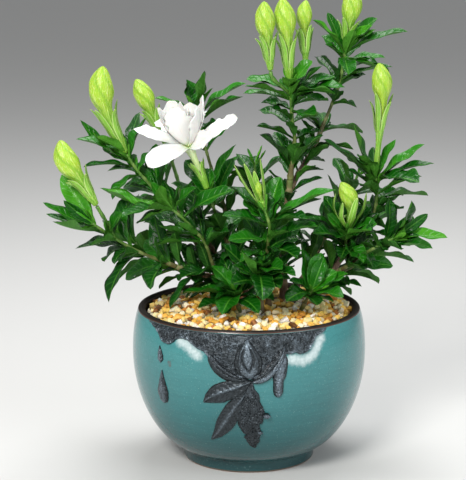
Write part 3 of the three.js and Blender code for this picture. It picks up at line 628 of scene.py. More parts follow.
@dataclass(frozen=True)
class GlossyLeaf:
    """A glossy leaf: darker with age, with a pale midrib, sunk side veins and a matt underside.

    The UV map runs from foot to tip and once round the blade, over the top first.
    """

    old: Colour = (0.0015, 0.026, 0.002)
    middle: Colour = (0.0035, 0.076, 0.002)
    fresh: Colour = (0.018, 0.165, 0.005)
    young: Colour = (0.120, 0.430, 0.014)
    rib: Colour = (0.100, 0.340, 0.030)
    vein: Colour = (0.070, 0.290, 0.030)
    edge: Colour = (0.12, 0.40, 0.06)
    old_back: Colour = (0.012, 0.085, 0.008)
    young_back: Colour = (0.090, 0.310, 0.024)
    back_rib: Colour = (0.16, 0.40, 0.07)
    veins: float = 9.0

    def make(self) -> Material:
        """Mixes the green of the leaves.

        Returns:
            Their material.
        """
        r = Recipe("glossy_leaf")
        spot, unwrap = r.spot(), r.unwrap()
        along, across = r.axis(unwrap, "X"), r.across(unwrap)
        under = r.axis(unwrap, "Y").rise(0.499, 0.501)
        tone = r.mark("tone")
        patches = r.clouds(spot, 150, 3)
        colour = r.ramp(tone + (patches - 0.5) * 0.22, (0.0, self.old), (0.45, self.middle), (0.74, self.fresh),
                        (1.0, self.young))
        phase = along * self.veins - across * 1.35
        vein = abs(phase.fraction() - 0.5).rise(0.34, 0.5) * across.fall(0.75, 0.98)
        rib = across.fall(0.02, 0.11)
        colour = r.coats(
            colour, (vein * 0.22, self.vein), (rib * 0.55, self.rib), (along.fall(0.04, 0.20) * 0.6, self.rib),
            (across.rise(0.90, 1.0) * 0.35, self.edge))
        back = r.mix(rib * 0.5 + vein * 0.15, r.mix(tone, self.old_back, self.young_back), self.back_rib)
        colour = r.mix(under * 0.85, colour, back)
        shine = 0.20 + patches * 0.18 + under * 0.30
        quilt = r.clouds(spot, 230, 1)
        height = (1 - vein) * 0.7 + r.clouds(spot, 700, 2) * 0.3 - rib * 0.6 + quilt * 1.7
        return r.done(Base_Color=colour, Roughness=shine, Normal=r.bump(height, 0.00035, 0.7),
                      Specular_IOR_Level=0.24)


@dataclass(frozen=True)
class BudSkin:
    """The furled petals of a bud: lime green with pale streaks, greener in the folds and on the neck."""

    neck: Colour = (0.190, 0.440, 0.034)
    head: Colour = (0.330, 0.540, 0.026)
    streak: Colour = (0.640, 0.740, 0.250)
    fold: Colour = (0.165, 0.390, 0.012)
    tip: Colour = (0.30, 0.52, 0.02)

    def make(self) -> Material:
        """Mixes the skin of the buds.

        Returns:
            Its material.
        """
        r = Recipe("bud_skin")
        unwrap = r.unwrap()
        along = r.axis(unwrap, "X")
        lines = r.clouds(r.stretched(unwrap, 5, 42, 1), 1, 3, 0.4)
        mottle = r.clouds(r.stretched(unwrap, 26, 34, 1), 1, 3, 0.8)
        colour = r.coats(
            self.neck, (along.rise(0.30, 0.55), self.head), (mottle.rise(0.52, 0.70) * 0.5, self.streak),
            (lines.rise(0.50, 0.72) * 0.6, self.streak), (lines.fall(0.30, 0.45) * 0.45, self.fold),
            (r.mark("fold") * 0.75, self.fold), (along.rise(0.93, 1.0) * 0.5, self.tip))
        return r.done(Base_Color=colour, Roughness=0.36, Normal=r.bump(lines * 0.6 + mottle * 0.4, 0.0009, 0.8),
                      Subsurface_Weight=0.12, Subsurface_Scale=0.003)


@dataclass(frozen=True)
class CalyxSkin:
    """Light green calyx lobes with pale keels and edges, the edges brightened in part as a painted highlight."""

    base: Colour = (0.135, 0.370, 0.022)
    light: Colour = (0.33, 0.58, 0.075)
    pale: Colour = (0.580, 0.730, 0.270)
    tip: Colour = (0.55, 0.62, 0.20)

    def make(self) -> Material:
        """Mixes the skin of the lobes.

        Returns:
            Its material.
        """
        r = Recipe("calyx_skin")
        unwrap = r.unwrap()
        across, lobe = r.across(unwrap), r.mark("lobe")
        lines = r.clouds(r.stretched(unwrap, 3, 26, 1), 1, 3)
        # pale edges and keel: their own paler colour, with the edges brightened further as a painted highlight
        edge = across.rise(0.66, 1.0) * 0.85 + across.fall(0.0, 0.18) * 0.5
        colour = r.coats(
            self.base, (lines.rise(0.38, 0.66) * 0.75, self.light), (edge * lobe, self.pale),
            (r.axis(unwrap, "X").rise(0.9, 1.0) * 0.5 * lobe, self.tip))
        return r.done(Base_Color=colour, Roughness=0.38, Normal=r.bump(lines, 0.0004, 0.6))


@dataclass(frozen=True)
class WhitePetal:
    """A velvety white petal, with faint veins and a breath of green at its foot."""

    white: Colour = (0.740, 0.740, 0.725)
    shade: Colour = (0.600, 0.630, 0.590)
    foot: Colour = (0.480, 0.660, 0.170)
    tip: Colour = (0.86, 0.80, 0.62)

    def make(self) -> Material:
        """Mixes the white.

        Returns:
            Its material.
        """
        r = Recipe("white_petal")
        unwrap = r.unwrap()
        lines = r.clouds(r.stretched(unwrap, 2.5, 34, 1), 1, 3, 0.5)
        colour = r.coats(
            self.white, (lines.fall(0.32, 0.5) * 0.35, self.shade), (r.mark("foot") * 0.8, self.foot),
            (r.axis(unwrap, "X").rise(0.95, 1.0) * 0.25, self.tip))
        return r.done(Base_Color=colour, Roughness=0.55, Normal=r.bump(lines, 0.0004, 0.45),
                      Subsurface_Weight=0.12, Subsurface_Scale=0.003, Sheen_Weight=0.05)


@dataclass(frozen=True)
class StudioPaper:
    """The pale matt floor."""

    colour: Colour = (0.62, 0.62, 0.61)
    patch: Colour = (0.55, 0.55, 0.55)

    def make(self) -> Material:
        """The floor as a material."""
        r = Recipe("studio_paper")
        return r.done(Base_Color=r.mix(r.clouds(r.spot(), 3, 2) * 0.06, self.colour, self.patch), Roughness=0.75)


# ---------- meshes
def settled(name: str, mesh: bmesh.types.BMesh) -> bpy.types.Mesh:
    """Turns gathered shapes into mesh data and lets go of them.

    Args:
        name: The data's name.
        mesh: The shapes.

    Returns:
        The mesh data.
    """
    data = bpy.data.meshes.new(name)
    mesh.to_mesh(data)
    mesh.free()
    return data


def stand(name: str, data: bpy.types.ID) -> bpy.types.Object:
    """Puts something into the scene.

    Args:
        name: Its name.
        data: The mesh, light or camera.

    Returns:
        Its object.
    """
    made = bpy.data.objects.new(name, data)
    bpy.context.scene.collection.objects.link(made)
    return made


class Maker:
    """Gathers the bmesh shapes of one piece, with its UV map and its float attributes."""

    def __init__(self, *marks: str) -> None:
        """Starts an empty mesh.

        Args:
            *marks: The names of its attributes.
        """
        self.mesh = bmesh.new()
        self.mesh.loops.layers.uv.new("UVMap")
        self.marks = {name: self.mesh.verts.layers.float.new(name) for name in marks}

    def sheet(self, columns: int, rows: int, place: Place, **marks: Mark) -> None:
        """Adds a grid and bends it to a surface. Edges that meet are joined.

        Args:
            columns: Faces along the first direction.
            rows: Faces along the second.
            place: The surface's point in millimetres for two shares from 0 to 1.
            **marks: The value of each attribute, or a function of the two shares.
        """
        grid = bmesh.ops.create_grid(self.mesh, x_segments=columns, y_segments=rows, size=0.5, calc_uvs=True)
        for vert in grid["verts"]:
            u, v = vert.co.x + 0.5, vert.co.y + 0.5
            vert.co = place(u, v) * MM
            for name, mark in marks.items():
                vert[self.marks[name]] = mark(u, v) if callable(mark) else mark
        bmesh.ops.remove_doubles(self.mesh, verts=grid["verts"], dist=WELD)

    def tube(self, line: Sequence[tuple[Station, float]], sides: int, **marks: Mark) -> None:
        """Adds a closed tube.

        Args:
            line: The stations along it, each with the radius there.
            sides: Faces round it.
            **marks: The value of each attribute, or a function of the shares along and round.
        """
        closed = [(line[0][0], 0.0), *line, (line[-1][0], 0.0)]
        last = len(closed) - 1

        def place(u: float, v: float) -> Vector:
            """The point of the tube at two shares."""
            station, radius = closed[round(u * last)]
            return station.centre + station.out(v * TURN) * radius

        self.sheet(last, sides, place, **marks)

    def finish(self, name: str, material: Material, slot: Slot, nodes: Sequence[str],
               smooth: bool = True) -> None:
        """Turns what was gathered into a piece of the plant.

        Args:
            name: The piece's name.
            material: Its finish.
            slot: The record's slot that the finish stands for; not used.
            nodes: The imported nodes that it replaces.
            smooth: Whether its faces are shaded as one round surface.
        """
        bmesh.ops.recalc_face_normals(self.mesh, faces=self.mesh.faces)
        data = settled(name, self.mesh)
        if smooth:
            data.shade_smooth()
        data.materials.append(material)
        piece = stand(name, data)
        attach(piece, "root")
        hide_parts(*nodes)
        LOG.info("%s: %d faces", name, len(data.polygons))


# ---------- the bowl
class Carving(Enum):
    """How a raised form of the relief is cut."""

    BOSS = "boss"
    LEAF = "leaf"
    CRESCENT = "crescent"
    BRANCH = "branch"
    ROOT = "root"


SMOOTHNESS = {Carving.LEAF: 0.75, Carving.CRESCENT: 0.5, Carving.BRANCH: 0.25, Carving.ROOT: 0.3}


@dataclass(frozen=True)
class Raised:
    """A raised form: its line on the wall as (degrees, height, half width, crest), and how it is cut."""

    line: tuple[tuple[float, float, float, float], ...]
    carving: Carving
    ragged: float = 0.0
    veins: float = 0.0


RELIEF = {
    "lotus_bud": Raised(
        ((-1.2, 102.5, 0, 1.6), (-1.4, 99.4, 2.8, 3.2), (-1.3, 93, 7.4, 4.4), (-0.8, 86.4, 9.6, 5.0),
         (-0.3, 80.4, 7.9, 4.6), (0.2, 75.4, 0, 2.2)), Carving.BOSS),
    "lotus_left": Raised(
        ((-20.4, 93.5, 0, 1.8), (-18.0, 87.0, 3.0, 3.4), (-14.4, 81.2, 3.9, 4.0), (-9.8, 77.2, 3.6, 4.0),
         (-4.8, 75.2, 2.4, 3.6), (0.2, 74.8, 0, 2.4)), Carving.CRESCENT),
    "lotus_right": Raised(
        ((17.2, 99, 0, 1.8), (14.6, 91.5, 2.6, 3.4), (11.4, 85.2, 3.2, 3.8), (7.8, 80.2, 3.0, 3.8),
         (4.0, 76.8, 2.0, 3.4), (0.4, 75.2, 0, 2.4)), Carving.CRESCENT),
    "branch": Raised(
        ((0.6, 73.6, 0, 2.2), (3.6, 74.3, 2.0, 3.0), (7.2, 76.2, 2.4, 3.2), (11.4, 81.6, 2.3, 3.0),
         (14.8, 88.6, 2.2, 2.6), (16.6, 97.6, 0, 1.4)), Carving.BRANCH),
    "upper_leaf": Raised(
        ((1.6, 74.6, 0, 2.2), (-4, 71.0, 4.6, 3.0), (-9, 68.0, 6.6, 3.2), (-14, 65.4, 6.8, 3.2),
         (-18.8, 61.9, 4.5, 2.6), (-23.0, 57.6, 0, 1.2)), Carving.LEAF, 0.05, 9),
    "lower_leaf": Raised(
        ((0, 70, 0, 2.2), (-3.4, 62.5, 3.6, 2.6), (-8, 53, 6.6, 3.0), (-12, 44.6, 6.4, 2.8),
         (-16.6, 36, 3.9, 2.2), (-22, 29.4, 0, 1.2)), Carving.LEAF, 0.03, 17),
    "root_leaf": Raised(
        ((1.2, 74.4, 0, 2.4), (0.4, 68, 3.2, 3.0), (0.8, 59, 6.8, 3.2), (1.0, 52, 8.8, 3.2),
         (-0.2, 44, 8.0, 3.0), (1.8, 37, 6.6, 2.6), (2.0, 30, 5.2, 2.0), (3.2, 23.6, 0, 1.2)),
        Carving.ROOT, 0.34, 5),
    "knob": Raised(((6.2, 49.8, 0, 2.4), (7.0, 49.8, 1.9, 3.6), (8.6, 49.6, 2.1, 3.8), (10.2, 49.4, 0, 2.4)),
                   Carving.BOSS),
    "low_knob": Raised(((3.8, 37.4, 0, 2.0), (5.4, 37, 1.7, 2.8), (7.0, 36.6, 0, 2.0)), Carving.BOSS),
    "drip": Raised(
        ((15.9, 94, 0, 1.4), (15.2, 87, 4.2, 2.0), (13.9, 78.5, 4.8, 2.5), (13.3, 73, 3.6, 2.4),
         (13.3, 67.5, 3.5, 2.7), (13.3, 64.2, 2.7, 2.3), (13.3, 62.0, 0, 1.2)), Carving.BRANCH),
    "first_drop": Raised(
        ((-48.4, 91.2, 0, 1.0), (-47.8, 86.5, 2.0, 1.7), (-47.2, 82.5, 2.7, 2.0), (-47, 79.6, 0, 1.0)),
        Carving.BOSS, 0.16),
    "second_drop": Raised(
        ((-46.2, 75.4, 0, 1.0), (-46.3, 68, 2.6, 2.0), (-46.5, 59, 5.2, 2.6), (-46.8, 54, 3.9, 2.2),
         (-47.2, 51.4, 0, 1.0)), Carving.BOSS, 0.12),
}

APRON_EDGE = (
    (-62, 103.6), (-58, 102.6), (-54.7, 101.4), (-51.5, 99.6), (-49.3, 97.2), (-47.6, 94.8), (-45.2, 93.4),
    (-42.2, 93.2), (-39.6, 94.6), (-37.9, 97.2), (-35, 98.4), (-32.2, 98.2), (-29.2, 96.4), (-26.3, 93.9),
    (-22.8, 92.0), (-19.4, 88.6), (-16.4, 84.0), (-12.7, 79.4), (-8, 76.6), (-3.4, 75.6), (0.5, 75.4),
    (5, 76.4), (9, 79.8), (13.0, 85.4), (15.6, 89.6), (17.3, 90.6), (19.4, 90.9), (21.9, 91.2), (24.2, 89.9),
    (26.6, 90.2), (29.2, 92.4), (31.4, 96.3), (33.8, 99.8), (37, 101.4), (39.4, 102.6), (42, 103.6),
)

STAIN_LINE = ((-41.7, 80.5), (-40.9, 80.2))
# Lines along the relief that the pale bloom follows; the bloom is partly a painted highlight.
BLOOM_AND_HIGHLIGHT_LINES = (
    ((-35.5, 96.6), (-31.5, 95.2), (-28.0, 91.4), (-25.2, 89.2)),
    ((19.6, 87.4), (22.5, 86.9), (25.6, 85.6), (28.6, 86.8), (31.6, 89.2), (33.8, 93.6), (36.6, 98.6)),
)


@dataclass
class Bowl:
    """The thrown and glazed bowl with its relief of slip.

    The last eight fields are the widths of the bloom (partly a painted highlight) and of the stain, how far the
    inner face lies inside the outer one at least, how high the bare clay of the foot reaches, how deep the backs
    of the raised forms and of the apron lie in the wall, and the shares of their rows that cover the front.
    """

    foot: float = 45.0
    recess: float = 35.0
    drain: float = 6.0
    belly: float = 80.0
    belly_height: float = 76.0
    rim: float = 106.2
    steps: int = 256
    apron_top: float = 104.4
    bloom_and_highlight: float = 5.2
    stain: float = 1.9
    inner_gap: float = 2.6
    bare_height: float = 3.5
    sunk: float = 1.4
    apron_sunk: float = 1.2
    form_front: float = 0.82
    apron_front: float = 0.85

    def __post_init__(self) -> None:
        """Works out the walls as rows of radius and height."""
        b, h = self.belly, self.belly_height
        self.outer = self.curve(22, (46.2, 8.2), (63, 14), (b, 42), (b, h))
        self.outer += self.curve(14, (b, h), (b, 90), (78, 99), (76.2, 104.4))[1:]
        self.inner = self.curve(14, (36, 11), (58, 18), (74.4, 46), (74.6, h))
        self.inner += self.curve(8, (74.6, h), (74.6, 88), (73, 96), (71, 103.6))[1:]
        self.wall = Profile(*((z, r) for r, z in self.outer))

    @staticmethod
    def curve(steps: int, *pulls: tuple[float, float]) -> list[tuple[float, float]]:
        """Points along a swept curve.

        Args:
            steps: Stretches along it.
            *pulls: Its start, the two points that it is pulled towards, and its end.

        Returns:
            The points.
        """
        rows = []
        for i in range(steps + 1):
            t = i / steps
            w = ((1 - t) ** 3, 3 * t * (1 - t) ** 2, 3 * t * t * (1 - t), t ** 3)
            rows.append(tuple(sum(k * p[axis] for k, p in zip(w, pulls)) for axis in (0, 1)))
        return rows

    def on_wall(self, degrees: float, height: float, lift: float) -> Vector:
        """The point over the outer wall, at an angle from the front and a height."""
        angle, radius = math.radians(degrees), self.wall(height) + lift
        return Vector((radius * math.sin(angle), -radius * math.cos(angle), height))

    def spin(self, material: Material) -> None:
        """Spins the wall's section into the bowl.

        Args:
            material: The glaze.
        """
        section = [(self.drain, 3), (self.recess - 0.6, 3), (self.recess, 2.4), (36, 0.5), (36.6, 0), (43.2, 0),
                   (44.5, 0.4), (self.foot, 1.4), (self.foot, 6.2), (45.3, 7.5)]
        section += self.outer
        section += [(76.0, 105.2), (75.5, 105.8), (74.6, self.rim), (73.0, self.rim), (71.9, 105.7),
                    (71.3, 104.8)]
        section += [*reversed(self.inner), (self.drain, 11)]
        maker = Maker("inside", "bare", "bloom_and_highlight", "stain")
        mesh = maker.mesh
        points = [mesh.verts.new(Vector((r, 0, z)) * MM) for r, z in section]
        edges = [mesh.edges.new(pair) for pair in zip(points, points[1:] + points[:1])]
        bmesh.ops.spin(mesh, geom=points + edges, cent=(0, 0, 0), axis=(0, 0, 1), dvec=(0, 0, 0), angle=TURN,
                       steps=self.steps, use_merge=True)
        bmesh.ops.remove_doubles(mesh, verts=mesh.verts, dist=WELD)
        for vert in mesh.verts:
            self.mark_wall(maker, vert)
        maker.finish("bowl_wall", material, Slot.GLAZE, ["pot"])

    def mark_wall(self, maker: Maker, vert: bmesh.types.BMVert) -> None:
        """Marks a point of the bowl as inner wall, bare clay, bloom with its painted highlight, or stain.

        Args:
            maker: The bowl.
            vert: The point.
        """
        x, y, z = vert.co / MM
        radius = math.hypot(x, y)
        within = z > 10 and radius < self.wall(z) - self.inner_gap
        vert[maker.marks["inside"]] = 1.0 if within else 0.0
        unglazed = z < self.bare_height and radius < self.foot - 0.4 or radius < self.drain + 1
        vert[maker.marks["bare"]] = 1.0 if unglazed else 0.0
        if within or y > 0 or z < 20:
            return
        degrees = math.degrees(math.atan2(x, -y))
        # the bloom, partly a painted highlight, fades with the distance from its lines
        near = min(self.gap(degrees, z, a, b) for line in BLOOM_AND_HIGHLIGHT_LINES for a, b in zip(line, line[1:]))
        vert[maker.marks["bloom_and_highlight"]] = hill(near, self.bloom_and_highlight)
        vert[maker.marks["stain"]] = hill(self.gap(degrees, z, *STAIN_LINE), self.stain)

    @property
    def degree(self) -> float:
        """The millimetres of wall to a degree, round the belly."""
        return math.radians(self.belly)

    def gap(self, degrees: float, height: float, a: tuple[float, float], b: tuple[float, float]) -> float:
        """The distance over the wall from a point to the stretch between two others.

        Args:
            degrees: The point's angle from the front.
            height: The point's height.
            a: One end of the stretch, as (degrees, height).
            b: The other end.

        Returns:
            The distance in millimetres.
        """
        point, start, end = ((p[0] * self.degree, p[1]) for p in ((degrees, height), a, b))
        dx, dy = end[0] - start[0], end[1] - start[1]
        t = ((point[0] - start[0]) * dx + (point[1] - start[1]) * dy) / (dx * dx + dy * dy)
        t = min(max(t, 0), 1)
        return math.hypot(point[0] - start[0] - t * dx, point[1] - start[1] - t * dy)

    def raise_form(self, name: str, form: Raised, material: Material) -> None:
        """Makes one raised form of the relief.

        Args:
            name: The piece's name.
            form: Its line and its carving.
            material: The slip.
        """
        ends = [(row[0] * self.degree, row[1]) for row in form.line]
        reach = [0.0]
        for a, b in zip(ends, ends[1:]):
            reach.append(reach[-1] + math.dist(a, b))
        shares = [value / reach[-1] for value in reach]
        columns = zip(*((*end, *row[2:]) for end, row in zip(ends, form.line)))
        across_wall, height, half, crest = (Profile(*zip(shares, column)) for column in columns)
        seed = len(name) * 3.1

        def outline(u: float, side: float) -> float:
            """The half width on one side, with its ragged edge."""
            rough = form.ragged * (grain(u * 9, side * 4, seed) + 0.6 * grain(u * 23, side * 4, seed))
            return half(u) * (1 + rough)

        def place(u: float, v: float) -> Vector:
            """The form's point.

            Args:
                u: The share along it.
                v: The share round it: over the front, then back behind the wall.

            Returns:
                The point.
            """
            front, s = lap(v, self.form_front)
            step = 0.01
            dx = across_wall(u + step) - across_wall(u - step)
            dz = height(u + step) - height(u - step)
            size = math.hypot(dx, dz) or 1
            wide = s * outline(u, 1 if s > 0 else -1)
            x, z = across_wall(u) - wide * dz / size, height(u) + wide * dx / size
            lift = self.lift(form, u, s, crest(u)) if front else -self.sunk
            return self.on_wall(x / self.degree, z, lift * ease(0, 0.03, min(u, 1 - u)) - 0.3)

        maker = Maker("crest", "smooth")

        def highlight_and_wear(u: float, v: float) -> float:
            """How bright the form is painted, for wear and as a painted highlight on its crest: brightest where
            it stands highest.

            Args:
                u: The share along it.
                v: The share round it.

            Returns:
                The painted highlight and wear, up to about 1.
            """
            front, s = lap(v, self.form_front)
            if not front:
                return 0.0
            share = self.lift(form, u, s, crest(u)) / max(crest(u), 0.5)
            return (share - 0.30) * 1.15 if form.carving is Carving.LEAF else share * share * 0.8

        smooth = SMOOTHNESS.get(form.carving, 0.5 - form.ragged * 3)
        maker.sheet(64, 40, place, crest=highlight_and_wear, smooth=smooth)
        maker.finish(f"relief_{name}", material, Slot.GLAZE, ["pot"])

    @staticmethod
    def lift(form: Raised, u: float, s: float, crest: float) -> float:
        """The height of a form over the wall.

        Args:
            form: The form.
            u: The share along it.
            s: The place across it, from -1 to 1.
            crest: The height of its crest there.

        Returns:
            The height.
        """
        side = abs(s)
        dome = max(0.0, 1 - side ** 2.4) ** 0.5
        if form.carving is Carving.BOSS:
            panel = 0.42 * math.sin(min(1.0, u / 0.80) * math.pi)
            crease = 0.36 * hill(side - panel, 0.08) * ease(0.86, 0.76, u) + 0.16 * hill(side - 0.74, 0.07)
            return crest * (dome - crease * (1 if crest > 4 else 0.2))
        if form.carving is Carving.CRESCENT:
            return crest * (dome * (0.72 + 0.28 * s) - 0.25 * hill(s - 0.25, 0.16))
        if form.carving is Carving.BRANCH:
            return crest * max(0.0, 1 - side ** 2.2) ** 0.5 * (1 + 0.06 * grain(u * 14, s * 2))
        rim = max(0.0, 1 - side ** 9) ** 0.5
        if form.carving is Carving.ROOT:
            strands = 0.10 * math.sin((s * form.veins + u * 1.2) * TURN) * ease(0, 0.2, u)
            return crest * rim * (0.62 + 0.26 * grain(u * 8, s * 2.4, 4) + strands + 0.14 * ease(0.7, 0, u))
        cup = 0.46 + 0.20 * side ** 2 + 0.46 * hill(s + 0.10, 0.26)
        vein = 0.07 * math.sin((u * form.veins - side * 1.6) * TURN) * ease(0.06, 0.25, side)
        return crest * rim * (cup + vein)

    def apron(self, material: Material) -> None:
        """Makes the ragged apron of slip under the lip.

        Args:
            material: The slip.
        """
        edge = Profile(*APRON_EDGE)
        first, last = APRON_EDGE[0][0], APRON_EDGE[-1][0]

        def low(degrees: float) -> float:
            """The height of the ragged lower edge."""
            return edge(degrees) + 0.5 * grain(degrees * 0.55, 3.3) + 0.25 * grain(degrees * 1.6, 8.1)

        def rise(down: float) -> float:
            """The lift at a distance above the lower edge, with a rolled lip there."""
            return 1.05 * ease(-0.1, 0.9, down) + 0.75 * hill(down - 1.3, 1.1)

        def place(u: float, v: float) -> Vector:
            """The apron's point.

            Args:
                u: The share along the wall.
                v: The share from the lower edge to the lip, then back behind the wall.

            Returns:
                The point.
            """
            degrees = blend(first, last, u)
            front, s = lap(v, self.apron_front)
            share = max(0.0, (s + 1) / 2)
            bottom = low(degrees)
            if min(u, 1 - u) < CLOSED:
                return self.on_wall(degrees, self.apron_top, -self.apron_sunk)
            z = blend(bottom, self.apron_top, share ** 1.15)
            if not front or v < CLOSED:
                return self.on_wall(degrees, z, -self.apron_sunk)
            lumps = 0.36 * grain(degrees * 0.42, z * 0.42, 5) + 0.34 * grain(degrees * 0.95, z * 0.75, 9)
            lift = rise(z - bottom) + lumps * ease(0, 2, z - bottom)
            fade = 1 - 0.75 * ease(self.apron_top - 2.6, self.apron_top, z)
            return self.on_wall(degrees, z, max(lift, 0.1) * fade * ease(0, 0.02, min(u, 1 - u)) - 0.12)

        def highlight_and_wear(u: float, v: float) -> float:
            """How bright the apron is painted, for wear and as a painted highlight on its rolled edge: brightest
            there.

            Args:
                u: The share along the wall.
                v: The share up the front.

            Returns:
                The painted highlight and wear, up to about 1.
            """
            degrees = blend(first, last, u)
            z = blend(low(degrees), self.apron_top, min(v / self.apron_front, 1) ** 1.15)
            return 0.10 + 0.35 * rise(z - low(degrees)) + 0.35 * grain(degrees * 0.3, z * 0.3, 2)

        maker = Maker("crest", "smooth")
        maker.sheet(300, 46, place, crest=highlight_and_wear, smooth=0.0)
        maker.finish("relief_apron", material, Slot.GLAZE, ["pot"])

    def build(self) -> None:
        """Makes the bowl and its relief."""
        self.spin(CeladonGlaze().make())
        slip = Pewter().make()
        self.apron(slip)
        for name, form in RELIEF.items():
            self.raise_form(name, form, slip)


# ---------- stones
@dataclass
class StoneBed:
    """The mound of crushed stone that tops the soil, with a hollow of (x, y, width) among the stems."""

    reach: float = 70.4
    edge: float = 101.0
    crown: float = 107.6
    spacing: float = 4.5
    shapes: int = 14
    sizes: tuple[float, float] = (4.3, 6.3)
    tilt: float = 0.7
    row: float = 0.87
    stray: float = 0.9
    seed: int = 7
    hollow: Point = (20.0, 20.0, 27.0)
    floor: float = 96.0

    def height(self, x: float, y: float) -> float:
        """The height of the mound: high at the right and the left, low in the hollow.

        Args:
            x: How far to the right.
            y: How far to the back.

        Returns:
            The height.
        """
        fall = (self.crown - self.edge) * (x * x + y * y) / self.reach ** 2
        right = 3.4 * hill(math.hypot(x - 50, y - 6), 22)
        left = 2.0 * hill(math.hypot(x + 46, y + 4), 24)
        return self.crown - fall + right + left - 3.0 * self.depth(x, y)

    def depth(self, x: float, y: float) -> float:
        """How far into the hollow among the stems a place is, from 0 to 1."""
        return hill(math.hypot(x - self.hollow[0], y - self.hollow[1]), self.hollow[2])

    def shape(self, chance: random.Random) -> bpy.types.Mesh:
        """Makes one chip: a block of 24 faces, rounded and then cut by a few planes.

        Args:
            chance: What its form is drawn from.

        Returns:
            The chip's mesh.
        """
        mesh = bmesh.new()
        bmesh.ops.create_cube(mesh, size=1.0)
        bmesh.ops.subdivide_edges(mesh, edges=mesh.edges, cuts=1, use_grid_fill=True)
        scale = Vector((chance.uniform(0.8, 1.25), chance.uniform(0.75, 1.1), chance.uniform(0.6, 0.85)))
        cuts = [(Vector([chance.gauss(0, 1) for _ in range(3)]).normalized(), chance.uniform(0.30, 0.44))
                for _ in range(6)]
        for vert in mesh.verts:
            vert.co = vert.co.lerp(vert.co.normalized() * 0.56, 0.62)
            for away, depth in cuts:
                over = vert.co.dot(away) - depth
                if over > 0:
                    vert.co -= away * over
            vert.co = Vector(a * b for a, b in zip(vert.co, scale))
        return settled("chip_shape", mesh)

    def spots(self, chance: random.Random) -> list[tuple[float, float, float]]:
        """Scatters the chips in two loose layers.

        Args:
            chance: What their places are drawn from.

        Returns:
            Rows of x, y and the height over the mound.
        """
        rows = []
        for layer, (gap, lift, keep) in enumerate(((self.spacing, -0.6, 1.0), (self.spacing * 1.1, 1.9, 0.82))):
            lines = int(self.reach / (gap * self.row)) + 1
            for i in range(-lines, lines + 1):
                for j in range(-lines, lines + 1):
                    x = (j + 0.5 * (i % 2) + 0.31 * layer) * gap + chance.uniform(-self.stray, self.stray)
                    y = (i + 0.43 * layer) * gap * self.row + chance.uniform(-self.stray, self.stray)
                    if math.hypot(x, y) < self.reach - 2.4 and chance.random() < keep:
                        rows.append((x, y, lift + chance.uniform(-0.4, 0.7)))
        return rows

    def build(self) -> None:
        """Lays the mound and the chips on it."""
        chance = random.Random(self.seed)
        self.ground(Earth("grit_under_stones").make())
        shapes = [self.shape(chance) for _ in range(self.shapes)]
        maker = Maker("tone", "shade")
        mesh = maker.mesh
        for x, y, lift in self.spots(chance):
            deep = self.depth(x, y)
            # Painted shadow of the foliage, with some bare soil: in the hollow among the stems chips thin out so
            # that the dark grit shows, and those left are darkened.
            if chance.random() < deep * 1.35 - 0.16:
                continue
            size = chance.uniform(*self.sizes)
            start = len(mesh.verts)
            mesh.from_mesh(chance.choice(shapes))
            mesh.verts.ensure_lookup_table()
            chip = mesh.verts[start:]
            tilt = [chance.uniform(-self.tilt, self.tilt), chance.uniform(-self.tilt, self.tilt),
                    chance.uniform(0, TURN)]
            middle = self.height(x, y) + lift
            self.lay(mesh, chip, tilt, size, Vector((x, y, middle)))
            tone, shade = chance.random(), max(0.0, deep * 0.85 - 0.28)
            for vert in chip:
                under = ease(0.12, -0.40, (vert.co.z / MM - middle) / size)
                vert[maker.marks["tone"]] = tone
                vert[maker.marks["shade"]] = max(shade, under * 0.9)
        maker.finish("stone_chips", CrushedStone().make(), Slot.STONE, ["gravel"], smooth=False)
        for data in shapes:
            bpy.data.meshes.remove(data)

    @staticmethod
    def lay(mesh: bmesh.types.BMesh, chip: list, tilt: Sequence[float], size: float, spot: Vector) -> None:
        """Turns, sizes and lays a new chip.

        Args:
            mesh: The bed.
            chip: The chip's points.
            tilt: Its angles about X, Y and Z.
            size: Its size in millimetres.
            spot: Its place in millimetres.
        """
        x, y, z = (Matrix.Rotation(angle, 3, axis) for angle, axis in zip(tilt, "XYZ"))
        bmesh.ops.scale(mesh, vec=Vector((size, size, size)) * MM, verts=chip)
        bmesh.ops.rotate(mesh, cent=(0, 0, 0), matrix=z @ y @ x, verts=chip)
        bmesh.ops.translate(mesh, vec=spot * MM, verts=chip)

    def ground(self, material: Material) -> None:
        """Makes the dark mound that the chips lie on.

        Args:
            material: The grit.
        """
        maker = Maker()

        def place(u: float, v: float) -> Vector:
            """The mound's point.

            Args:
                u: The share out over the top, then back below.
                v: The share round it.

            Returns:
                The point.
            """
            top, s = lap(u, 0.8)
            radius = self.reach * (s + 1) / 2
            x, y = radius * math.cos(v * TURN), radius * math.sin(v * TURN)
            rough = 0.8 * grain(x * 0.25, y * 0.25) + 0.5 * grain(x * 0.7, y * 0.7)
            return Vector((x, y, self.height(x, y) - 1.2 + rough if top else self.floor))

        maker.sheet(50, 96, place)
        maker.finish("stone_bed", material, Slot.SOIL, ["gravel"])


# ---------- stems
@dataclass(frozen=True)
class Shoot:
    """A shoot.

    It has knots, the brown share of its length, a radius at foot and tip, the stalks of its buds, the stem that
    it belongs to (its own without one), whether that starts in the soil, the share of its leaves that have a
    crosswise neighbour, and the share of its bare wood that carries leaves.
    """

    knots: tuple[Point, ...]
    wood: float
    radii: tuple[float, float]
    twigs: tuple[tuple[Point, ...], ...] = ()
    stem: str = ""
    rooted: bool = True
    fullness: float = 0.9
    skirt: float = 1.0


